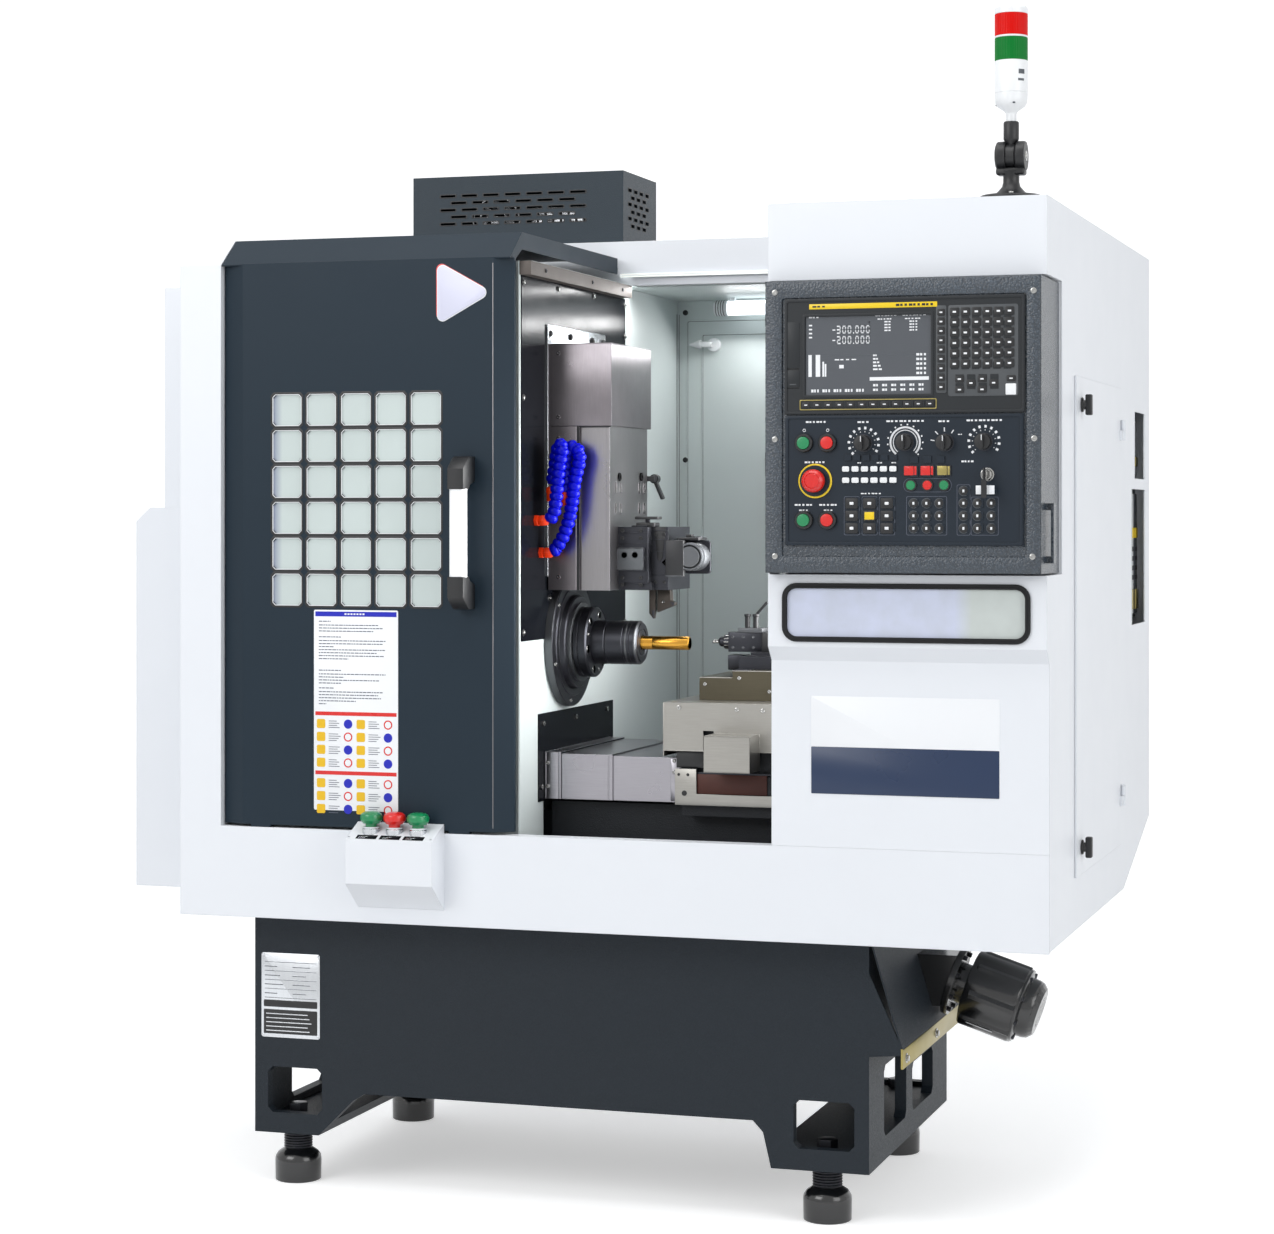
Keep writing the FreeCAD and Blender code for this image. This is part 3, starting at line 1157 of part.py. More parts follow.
def signal_tower():
    """Folding foot, head with a tapered case and cap, and two stacked lenses."""
    spot = (TOWER_X, d.tower_y)
    x, y = spot
    roof, r = d.roof_top, d.tower_radius
    pivot = roof + d.tower_pivot
    half, clear = 26, 8
    flange = prism("tower_flange", "z", 32, 56, roof, roof + 6, spot)
    cone = bevelled(prism("tower_cone", "z", FLATS, 28, roof + 6, roof + 20, spot), "head", 13)
    stem = prism("tower_stem", "z", FLATS, 13, roof + 20, pivot - 22, spot)
    cheeks = [prism(f"tower_cheek_{i}", "x", 12, 26, low, high, (y, pivot))
              for i, (low, high) in enumerate(((x - half, x - clear), (x + clear, x + half)))]
    yoke = box("tower_yoke", (x - half, x + half), (y - 12, y + 12), (pivot - 30, pivot - 23))
    node("tower_base", fused("tower_base_joined", flange, cone, stem, yoke, *cheeks))
    tongue = prism("tower_tongue", "x", 12, 21, x - clear + 0.3, x + clear - 0.3, (y, pivot))
    case = roof + d.tower_case
    green, red, cap = case + 75, case + 116, case + 157
    socket = prism("tower_socket", "z", 12, 12, pivot + 27, case - 18, spot)
    link = box("tower_link", (x - 7, x + 7), (y - 8, y + 8), (pivot + 10, pivot + 28))
    pole = prism("tower_pole", "z", 12, 9, case - 18, case - 2, spot)
    body = bevelled(prism("tower_case", "z", FLATS, r, case - 2, green, spot), "foot", r * 0.6)
    head = fused("tower_head_joined", tongue, link, socket, pole, body)
    top = prism("tower_cap", "z", FLATS, r, cap, cap + 14, spot)
    node("tower_head", grouped("tower_head_set", [head, top]))
    lenses = [prism(name, "z", FLATS, r, low, high, spot)
              for name, low, high in (("green_lens", green, red), ("red_lens", red, cap))]
    node("tower_lenses", grouped("tower_lens_pair", lenses))


def electrical_modules():
    """Drive modules on the rear wall, seen through the side vents."""
    back = BODY_BACK - d.sheet
    modules = []
    for i in range(5):
        right = BODY_RIGHT - 30 - d.module_pitch * i
        modules.append(box(f"module_{i}", (right - d.module_width, right),
                           (back - d.module_depth, back),
                           (d.module_foot, d.module_foot + d.module_height)))
    node("electrical_modules", grouped("modules", modules))


def chip_chute():
    """The sloped plate at the right of the base with its lip and gusset wings."""
    right, out = d.base_right, d.base_right + d.chute_reach
    top = d.skirt_bottom - d.sheet
    bend, lip = d.chute_bottom, d.chute_bottom - d.chute_lip
    front, back = d.base_front, d.chute_back
    t = 3
    plate = bent("chute_plate", "xz", [(right + t + 0.2, top), (out, bend), (out, lip)], -t,
                 front, back)
    outline = [(right, top - 64), (out - 1, bend), (out - 1, bend - 12), (right, bend - 17)]
    wings = [padded(f"chute_wing_{i}", "xz", [outline], y, y + 6)
             for i, y in enumerate((front, back - 6))]
    node("chip_chute", fused("chute_joined", plate, *wings))
    gear_motor(right, top, out, bend)


def gear_motor(right, top, out, bend):
    """The chip conveyor's gear motor, tilted down, on a wedge that seats on the plate."""
    y, z = d.gear_y, d.gear_z
    r, tilt = d.gear_radius, math.radians(d.gear_tilt.value)
    start = out + 10
    slope = (out - right - 3.2) / (top - bend)
    high, low = z + 48, z - 48
    face = start + 12 / math.cos(tilt)
    lean = 48 * math.tan(tilt)
    outline = [(out - (high - bend) * slope.value, high), (out - (low - bend) * slope.value, low),
               (face - lean, low), (face + lean, high)]
    wedge = padded("gear_wedge", "xz", [outline], y - 46, y + 46)
    axis = (0, 0)
    train = fused(
        "gear_train",
        prism("gear_flange", "z", 24, 66, 12, 24, axis),
        prism("gear_neck", "z", 16, 38, 24, 48, axis),
        bevelled(prism("gear_case", "z", 8, r, 48, 148, axis), "foot", 10),
        bevelled(prism("gear_bell", "z", 24, 54, 148, 186, axis), "head", 9))
    train.Placement.Rotation = Rotation(Vector(0, 1, 0), 90 + d.gear_tilt.value)
    place(train, start, y, z)
    node("gear_motor", fused("gear_joined", wedge, train))


# ---------------------------------------------------------------- build and write

def check_and_write():
    """Stop on any failed object, then write one file for each node."""
    doc.recompute()
    for thing in doc.Objects:
        if "Invalid" in thing.State or "Error" in thing.State:
            raise RuntimeError(f"{thing.Name} failed: {thing.State}")
    for name, thing in NODES.items():
        shape = thing.Shape
        if shape.isNull() or not shape.isValid() or not shape.Solids:
            raise RuntimeError(f"{name} has no valid solid")
    os.makedirs("parts", exist_ok=True)
    for name, thing in NODES.items():
        thing.Shape.exportStep(f"parts/{name}.step")
    print(len(NODES), "nodes")


for build in (base_casting, leveling_feet, enclosure_shell, left_covers, right_side_panel,
              front_frame, chamber_liner, splash_plates, front_beam, right_cabinet,
              cabinet_window, sliding_door, door_window, door_handle, control_box, display_unit,
              operator_panel, panel_controls, palm_buttons, side_door, headstock, spindle,
              bed_casting, way_cover, carriage, cross_slide, vertical_slide, tool_block,
              coolant_hoses, work_light, roof_vent_box, signal_tower, electrical_modules,
              chip_chute):
    build()
check_and_write()
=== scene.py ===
import math

import bmesh
import bpy
from mathutils import Matrix, Vector


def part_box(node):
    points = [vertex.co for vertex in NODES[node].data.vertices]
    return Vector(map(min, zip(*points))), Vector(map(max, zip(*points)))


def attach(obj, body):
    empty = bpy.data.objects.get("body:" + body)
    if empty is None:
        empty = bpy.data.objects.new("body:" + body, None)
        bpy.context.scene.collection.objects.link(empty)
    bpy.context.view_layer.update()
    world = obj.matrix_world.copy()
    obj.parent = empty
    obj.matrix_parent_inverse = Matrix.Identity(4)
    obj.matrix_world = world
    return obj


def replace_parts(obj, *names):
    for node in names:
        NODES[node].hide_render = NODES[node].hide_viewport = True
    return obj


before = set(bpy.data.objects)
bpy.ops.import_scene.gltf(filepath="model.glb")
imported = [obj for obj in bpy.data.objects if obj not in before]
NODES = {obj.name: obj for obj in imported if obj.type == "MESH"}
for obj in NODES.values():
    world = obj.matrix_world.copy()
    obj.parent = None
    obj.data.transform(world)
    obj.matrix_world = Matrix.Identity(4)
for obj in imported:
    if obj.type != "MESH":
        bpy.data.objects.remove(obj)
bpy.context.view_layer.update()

# The looks of a CNC turning lathe. Helper sizes are in millimetres, in the frame of the solids:
# the floor is z = 0, the front is -Y, and the operator's right is +X.
MM = 0.001


def corners(node):
    """The lowest and highest corner of a solid, in millimetres."""
    low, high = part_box(node)
    return low / MM, high / MM


# ---------------------------------------------------------------- materials

def linear(code):
    """A colour written as #RRGGBB, as the shader takes it."""
    parts = [int(code[i:i + 2], 16) / 255 for i in (1, 3, 5)]
    return [p / 12.92 if p <= 0.04045 else ((p + 0.055) / 1.055) ** 2.4 for p in parts] + [1.0]


def shade(code, by):
    """A colour made lighter or darker by a factor."""
    return [min(c * by, 1.0) for c in linear(code)[:3]] + [1.0]


class Graph:
    """The nodes of a material or a world, and short ways to add to them."""

    def __init__(self, name, group=bpy.data.materials):
        self.owner = group.new(name)
        self.owner.use_nodes = True
        self.tree = self.owner.node_tree

    def add(self, kind, **values):
        made = self.tree.nodes.new("ShaderNode" + kind)
        for key, value in values.items():
            if key in made.inputs:
                made.inputs[key].default_value = value
            else:
                setattr(made, key, value)
        return made

    def link(self, source, target):
        self.tree.links.new(source, target)

    def feed(self, value, target):
        if isinstance(value, bpy.types.NodeSocket):
            self.link(value, target)
        else:
            target.default_value = value

    def paint(self, values):
        """Values or node outputs for the inputs of the surface shader."""
        for name, value in values.items():
            self.feed(value, self.tree.nodes["Principled BSDF"].inputs[name])

    def place(self, stretch=(1, 1, 1)):
        """Object coordinates in metres, stretched along the axes."""
        coordinates = self.add("TexCoord")
        mapping = self.add("Mapping", Scale=stretch)
        self.link(coordinates.outputs["Object"], mapping.inputs["Vector"])
        return mapping.outputs["Vector"]

    def noise(self, scale, detail=3.0, rough=0.5, stretch=(1, 1, 1)):
        made = self.add("TexNoise", Scale=scale, Detail=detail, Roughness=rough)
        self.link(self.place(stretch), made.inputs["Vector"])
        return made.outputs["Fac"]

    def span(self, source, *limits):
        """A value moved from one range (low, high) to another."""
        names = ("From Min", "From Max", "To Min", "To Max")
        made = self.add("MapRange", **dict(zip(names, limits)))
        self.link(source, made.inputs["Value"])
        return made.outputs["Result"]

    def blend(self, share, first, second):
        made = self.add("Mix", data_type="RGBA", blend_type="MIX")
        for value, socket in ((share, 0), (first, 6), (second, 7)):
            self.feed(value, made.inputs[socket])
        return made.outputs[2]

    def math(self, operation, first, second, **values):
        made = self.add("Math", operation=operation, **values)
        self.feed(first, made.inputs[0])
        self.feed(second, made.inputs[1])
        return made.outputs[0]

    def seen(self, **values):
        """1 where the camera sees a surface by itself, in a mirror or through glass, else 0."""
        rays = self.add("LightPath").outputs
        seen = self.math("ADD", rays["Is Camera Ray"], rays["Is Glossy Ray"])
        return self.math("ADD", seen, rays["Is Transmission Ray"], **values)


def surface(name, code, rough, metal=0.0, specular=0.5, coat=0.0, grain=(900, 0.1),
            mottle=0.06, patch=5.0, rounding=1.2, wear=0.0, wear_code="#8A8C8E",
            stretch=(1, 1, 1), gloss_play=0.04):
    """A painted, cast, brushed or moulded surface: grain, mottling, soft edges and edge wear."""
    g = Graph(name)
    g.paint({"Metallic": metal, "Specular IOR Level": specular})
    if coat:
        g.paint({"Coat Weight": coat, "Coat Roughness": 0.12})
    colour = g.blend(g.noise(patch, 4.0, 0.6), shade(code, 1 - mottle), shade(code, 1 + mottle))
    fine = g.noise(grain[0], 3.0, 0.55, stretch)
    if max(stretch) > 1:
        streak = g.span(fine, 0.3, 0.7, 0.0, 1.0)
        colour = g.blend(g.math("MULTIPLY", streak, 0.35), colour, shade(code, 0.72))
    bump = g.add("Bump", Strength=grain[1], Distance=0.0006)
    g.link(fine, bump.inputs["Height"])
    if rounding:
        soft = g.add("Bevel", samples=4, Radius=rounding * MM)
        g.link(soft.outputs["Normal"], bump.inputs["Normal"])
        if wear:
            true = g.add("NewGeometry")
            match = g.add("VectorMath", operation="DOT_PRODUCT")
            g.link(soft.outputs["Normal"], match.inputs[0])
            g.link(true.outputs["Normal"], match.inputs[1])
            edge = g.span(match.outputs["Value"], 0.80, 0.97, 1.0, 0.0)
            chips = g.span(g.noise(70, 4.0, 0.6), 0.48, 0.62, 0.0, wear)
            colour = g.blend(g.math("MULTIPLY", edge, chips), colour, linear(wear_code))
    play = g.span(g.noise(9, 3.0, 0.6), 0.25, 0.75, max(rough - gloss_play, 0.03),
                  rough + gloss_play)
    g.paint({"Normal": bump.outputs["Normal"], "Base Color": colour, "Roughness": play})
    return g.owner


def brushed(name, code, rough, grain, mottle, patch, stretch, metal=1.0, **more):
    """Sheet steel with long fine marks across the stretched axes."""
    return surface(name, code, rough, metal=metal, grain=(26, grain), mottle=mottle, patch=patch,
                   stretch=stretch, **{"rounding": 1.0, **more})


def film(name, code, rough=0.35, specular=0.4, mottle=0.04, rounding=0.3):
    """A thin smooth coloured film or print."""
    return surface(name, code, rough, specular=specular, grain=(1500, 0.04), mottle=mottle,
                   rounding=rounding)


def plastic(name, code, rough, mottle, rounding, coat=0.0, specular=0.5):
    """A smooth coloured moulding."""
    return surface(name, code, rough, specular=specular, coat=coat, grain=(900, 0.05),
                   mottle=mottle, rounding=rounding)


def glowing(name, code, strength):
    """Pale glass that gives off a little coloured light."""
    g = Graph(name)
    base = "#E8EEF2"
    g.paint({"Base Color": g.blend(g.noise(60, 2.0), shade(base, 0.96), linear(base)),
             "Roughness": 0.3, "Emission Color": linear(code), "Emission Strength": strength})
    return g.owner


def pane(name, first, second, low, high, patch, cover):
    """A milky pane: one tint up to a place along x, another after it, with soft clouds."""
    g = Graph(name)
    parts = g.add("SeparateXYZ")
    g.link(g.place(), parts.inputs["Vector"])
    tint = g.blend(g.span(parts.outputs["X"], low, high, 0.0, 1.0), linear(first), linear(second))
    clouds = g.span(g.noise(patch, 3.0), 0.3, 0.7, 0.0, 1.0)
    g.paint({"Base Color": g.blend(g.math("MULTIPLY", clouds, 0.25), tint, shade(second, 0.72)),
             "Specular IOR Level": 0.4, "Alpha": cover,
             "Roughness": g.span(g.noise(40, 2.0), 0.3, 0.7, 0.16, 0.26)})
    return g.owner


def signal_lens(name, code, glow):
    """A coloured signal lens, lit a little from inside."""
    g = Graph(name)
    g.paint({"Base Color": g.blend(g.noise(12, 2.0), shade(code, 0.94), linear(code)),
             "Emission Color": linear(code), "Emission Strength": glow,
             "Specular IOR Level": 0.12, "IOR": 1.45,
             "Roughness": g.span(g.noise(200, 3.0), 0.3, 0.7, 0.14, 0.26)})
    return g.owner


def pebbled(name, code, rough, cell, depth, specular=0.4, painted_sheen_code=None):
    """Textured paint: small rounded pebbles; their lighter tops are a painted highlight and their
    darker valleys painted shade.
    """
    g = Graph(name)
    cells = g.add("TexVoronoi", Scale=cell, feature="SMOOTH_F1")
    g.link(g.place(), cells.inputs["Vector"])
    height = g.math("ADD", cells.outputs["Distance"], g.math("MULTIPLY", g.noise(cell * 2.3), 0.4))
    soft = g.add("Bevel", samples=4, Radius=1.5 * MM)
    bump = g.add("Bump", Strength=depth, Distance=0.0012, invert=True)
    g.link(height, bump.inputs["Height"])
    g.link(soft.outputs["Normal"], bump.inputs["Normal"])
    # painted light: the pebble tops are lightened as a highlight and the valleys darkened as shade
    top = g.span(cells.outputs["Distance"], 0.15, 0.6, 0.0, 1.0)
    base = g.blend(top, shade(painted_sheen_code or code, 1.1), shade(code, 0.85))
    g.paint({"Normal": bump.outputs["Normal"], "Specular IOR Level": specular,
             "Base Color": g.blend(g.noise(4, 4.0), base, shade(code, 1.0)),
             "Roughness": g.span(g.noise(cell), 0.3, 0.7, rough - 0.08, rough + 0.1)})
    return g.owner


UPRIGHT, LEVEL = (40, 40, 1), (1, 40, 40)  # which way the brushed marks run
WHITE = surface("white_powder_coat", "#DFE2E7", 0.38, specular=0.45, grain=(1500, 0.05),
                mottle=0.012, rounding=2.0, gloss_play=0.05)
LINER = surface("pale_liner_paint", "#CBD3D2", 0.42, specular=0.45, grain=(1500, 0.05),
                mottle=0.03, rounding=1.5)
SLATE = surface("slate_powder_coat", "#202C36", 0.4, specular=0.16, grain=(1400, 0.08),
                mottle=0.04, rounding=2.0)
BASE = pebbled("pebbled_base_paint", "#1C232A", 0.5, 420, 0.5, 0.25)
VENT = pebbled("textured_vent_paint", "#243039", 0.42, 650, 0.3, 0.3)
# the lighter pebble tops of the control paint, #3A4754, are a painted sheen
CHARCOAL = pebbled("hammered_control_paint", "#232D37", 0.26, 300, 0.9, 0.75, "#3A4754")
DARK_CAST = pebbled("painted_bed_casting", "#1E2126", 0.5, 500, 0.4, 0.35)
BLACK = surface("black_moulded_plastic", "#101114", 0.42, grain=(1200, 0.12), mottle=0.1,
                rounding=0.6)
PANEL = surface("panel_film", "#1B242E", 0.34, specular=0.28, grain=(2200, 0.08), mottle=0.05,
                rounding=0.5)
DISPLAY = surface("display_moulding", "#232629", 0.4, specular=0.3, grain=(1800, 0.1),
                  rounding=0.6)
STAINLESS = brushed("brushed_stainless", "#8E8C8E", 0.3, 0.03, 0.1, 3.0, UPRIGHT)
STAINED = brushed("stained_stainless", "#837E82", 0.3, 0.04, 0.3, 12.0, UPRIGHT)
RAIL_METAL = brushed("dull_rail_metal", "#625C58", 0.5, 0.04, 0.2, 8.0, (40, 1, 40), 0.4,
                     specular=0.2, rounding=0.6)
HOOD = brushed("brushed_cover_steel", "#A2A0A6", 0.3, 0.03, 0.06, 4.0, LEVEL)
WARM_HOOD = brushed("warm_cover_steel", "#9F9D98", 0.34, 0.03, 0.14, 6.0, LEVEL, 0.95,
                    wear=0.5, wear_code="#C9C8C2")
OLIVE_STEEL = brushed("olive_cover_steel", "#544F42", 0.36, 0.04, 0.16, 9.0, LEVEL, 0.9,
                      wear=0.6, wear_code="#A9A595")
CAST = surface("machined_cast_iron", "#5B5D60", 0.42, metal=0.85, grain=(500, 0.25),
               mottle=0.12, wear=0.7, wear_code="#8F9193")
GROUND = surface("ground_steel", "#A8A8A6", 0.22, metal=1.0, grain=(30, 0.08), mottle=0.05,
                 stretch=(1, 30, 1), rounding=0.6)
DARK_STEEL = surface("blackened_steel", "#34353A", 0.34, metal=0.8, grain=(700, 0.12),
                     mottle=0.12, wear=0.8, wear_code="#77787A", rounding=0.8)
DARK_PLATE = surface("dark_splash_paint", "#111317", 0.17, specular=0.035, grain=(160, 0.14),
                     mottle=0.12, rounding=0.8)
ALUMINIUM = surface("satin_aluminium", "#C9CCD0", 0.25, metal=1.0, grain=(24, 0.08),
                    mottle=0.04, stretch=UPRIGHT, rounding=0.8)
BRASS = surface("turned_brass", "#C9953E", 0.24, metal=1.0, grain=(60, 0.15), mottle=0.12,
                patch=30, stretch=(12, 1, 1), rounding=0.5)
RUBBER = surface("matt_black_rubber", "#121315", 0.62, specular=0.3, grain=(900, 0.25),
                 mottle=0.1, rounding=1.0)
GLASS = pane("cabinet_pane", "#CFD5EA", "#CBD2CF", 0.735, 0.765, 26, 0.92)
# the door pane's darker blue-grey tint left of x -0.562 to -0.545 is painted shade of the frame
# behind it
PANE = pane("door_pane", "#8D94AC", "#CCD7D5", -0.562, -0.545, 5, 0.9)
LENS_RED = signal_lens("red_lens", "#C80802", 0.1)
LENS_GREEN = signal_lens("green_lens", "#04702A", 0.04)
WHITE_PLASTIC = surface("white_moulded_plastic", "#E4E6E8", 0.3, grain=(1000, 0.04),
                        mottle=0.02, rounding=0.6, coat=0.2)
GREEN_CAP = plastic("green_cap", "#07804C", 0.28, 0.05, 0.8, 0.3)
RED_CAP = plastic("red_cap", "#D21610", 0.28, 0.05, 0.8, 0.3)
YELLOW = plastic("yellow_plastic", "#E5C312", 0.35, 0.04, 0.5)
HOSE_BLUE = plastic("blue_hose_plastic", "#0409A4", 0.22, 0.1, 0.4, specular=0.12)
ORANGE = plastic("orange_fitting_plastic", "#F03A08", 0.3, 0.06, 0.4, 0.2, 0.2)
STRIP = glowing("warm_strip", "#F6F8E2", 0.5)
LAMP = glowing("lit_lamp_glass", "#F4FAFF", 2.2)
MATT_BLACK = surface("matt_black", "#0A0A0B", 0.8, specular=0.05, mottle=0.05, rounding=0.3)
BLACK_GLOSS = surface("black_gloss_enamel", "#0E0F11", 0.2, specular=0.6, grain=(350, 0.15),
                      mottle=0.15, rounding=1.5, coat=0.3)
KHAKI = surface("khaki_passivated_steel", "#9C8F58", 0.34, metal=0.9, grain=(200, 0.1),
                mottle=0.12, rounding=0.8)
CARBIDE = surface("worn_tool_steel", "#3A3531", 0.36, metal=0.7, grain=(500, 0.2),
                  mottle=0.2, rounding=0.4, wear=0.6, wear_code="#8A8072")
RUST = surface("oiled_brown_strip", "#42180C", 0.5, metal=0.2, grain=(300, 0.25), mottle=0.25,
               patch=40, rounding=0.5)
BRIGHT_BLUE = film("blue_film", "#1A22B0", mottle=0.03)
OCHRE = film("ochre_film", "#E0B41E", rounding=0.2)
INK = film("grey_ink", "#5A5F6C", 0.5, 0.3, 0.05, 0.0)
LILAC = film("lilac_film", "#CFD0E2", rounding=0.4)
NAVY = film("navy_film", "#12294A", 0.3, 0.5, 0.03, 0.4)
PAPER = film("white_film", "#E6E8EB", specular=0.5, mottle=0.02)
GREY_PLATE = surface("grey_key_plate", "#4A4D50", 0.42, specular=0.35, grain=(1500, 0.06),
                     rounding=0.5)
PALE_GRIP = surface("pale_anodised_grip", "#FAFBFE", 0.26, grain=(30, 0.04), mottle=0.03,
                    stretch=(60, 60, 1), rounding=0.8)
GREY_KEY = surface("grey_key_plastic", "#4A4F55", 0.45, grain=(1200, 0.1), rounding=0.5)
SCREEN = surface("unlit_screen", "#4C5056", 0.12, specular=0.6, grain=(2500, 0.02),
                 mottle=0.05, patch=12, rounding=0.0)

DRESS = (
    (BASE, "base_casting chip_chute"), (BLACK_GLOSS, "leveling_feet gear_motor"),
    (DARK_CAST, "bed_casting saddle"), (LINER, "chamber_liner"), (DARK_PLATE, "splash_plates"),
    (WHITE, "enclosure_shell left_covers right_side_panel front_frame front_beam right_cabinet"
     " palm_button_box side_door"),
    (RUBBER, "window_frame"), (GLASS, "window_glass"), (CAST, "headstock_casting"),
    (STAINLESS, "slide_shell slide_cover"), (HOSE_BLUE, "coolant_hoses"), (LAMP, "work_light"),
    (VENT, "roof_vent_box"), (GREY_KEY, "electrical_modules"), (SLATE, "sliding_door"),
    (BLACK, "tower_base mode_knob feed_knob spindle_knob rapid_knob key_switch side_latch_low"
     " side_latch_high"),
    (PANE, "door_window"), (ALUMINIUM, "door_handle"), (CHARCOAL, "control_box"),
    (DISPLAY, "display_unit"), (PANEL, "operator_panel"),
    (GREEN_CAP, "power_on_button start_button palm_button_left palm_button_right"),
    (RED_CAP, "power_off_button hold_button emergency_stop palm_button_middle"),
    (GROUND, "spindle_shaft drill"), (DARK_STEEL, "collet_chuck drilling_unit tool_block"),
    (BRASS, "work_bar"), (WARM_HOOD, "carriage_cover"), (OLIVE_STEEL, "cross_slide"),
    (HOOD, "way_cover_inner way_cover_middle"), (CARBIDE, "turning_tools"),
    (WHITE_PLASTIC, "tower_head"), (LENS_RED, "tower_lenses"),
)
for material, names in DRESS:
    for name in names.split():
        slots = NODES[name].data.materials
        if not slots:
            slots.append(material)
        for i in range(len(slots)):
            slots[i] = material


# ---------------------------------------------------------------- shaping helpers

AXES = {"x": (Vector((0, 1, 0)), Vector((0, 0, 1)), Vector((1, 0, 0))),
        "y": (Vector((1, 0, 0)), Vector((0, 0, 1)), Vector((0, 1, 0))),
        "z": (Vector((1, 0, 0)), Vector((0, 1, 0)), Vector((0, 0, 1)))}


def inset(sides, by):
    """A rectangle (u0, u1, v0, v1) made smaller by the same width all round."""
    u0, u1, v0, v1 = sides
    return u0 + by, u1 - by, v0 + by, v1 - by


def centred(u, v, wide, high):
    """A rectangle (u0, u1, v0, v1) round its middle."""
    return u - wide / 2, u + wide / 2, v - high / 2, v + high / 2


def polar(radius, angle, centre=(0, 0)):
    """The point at a radius and an angle in radians round a centre."""
    return centre[0] + radius * math.cos(angle), centre[1] + radius * math.sin(angle)


def rounded(u0, u1, v0, v1, radius, steps=5):
    """A rectangle with rounded corners, as a list of points."""
    points = []
    for k, centre in enumerate(((u1 - radius, v1 - radius), (u0 + radius, v1 - radius),
                                (u0 + radius, v0 + radius), (u1 - radius, v0 + radius))):
        points += [polar(radius, math.radians(90 * (k + j / steps)), centre)
                   for j in range(steps + 1)]
    return points


def chamfered(u0, u1, v0, v1, corner):
    """A rectangle with its corners cut off, as a list of points."""
    return [(u1, v1 - corner), (u1 - corner, v1), (u0 + corner, v1), (u0, v1 - corner),
            (u0, v0 + corner), (u0 + corner, v0), (u1 - corner, v0), (u1, v0 + corner)]


def ribbed(centre, high, low, every, sides):
    """A circle whose radius drops from high to low at every so many points."""
    return [polar(high if k % every else low, math.tau * k / sides, centre) for k in range(sides)]


def circle(u, v, radius, sides=32):
    return ribbed((u, v), radius, radius, 1, sides)


def spun(place, angle, axis="X"):
    """A turn by degrees about an axis, then a move."""
    return Matrix.Translation(place) @ Matrix.Rotation(math.radians(angle), 4, axis)


def aimed(start, way):
    """A transform that puts local +z along a direction at a point."""
    return Matrix.Translation(start) @ Vector(way).to_track_quat("Z", "Y").to_matrix().to_4x4()


def ring_of(form, axis, outline, level):
    """New points of an outline on the plane across an axis."""
    across, up, along = AXES[axis]
    return [form.verts.new(across * u + up * v + along * level) for u, v in outline]


def bridge(form, one, two):
    """Faces between two rings of points, either of which may be a single point."""
    count = max(len(one), len(two))
    for i in range(count):
        j = (i + 1) % count
        face = dict.fromkeys((one[i % len(one)], two[i % len(two)], two[j % len(two)],
                              one[j % len(one)]))
        if len(face) > 2:
            form.faces.new(list(face))


def soften(form, edges, width, steps=2):
    if width:
        bmesh.ops.bevel(form, geom=edges, offset=width, segments=steps, profile=0.5,
                        affect="EDGES")


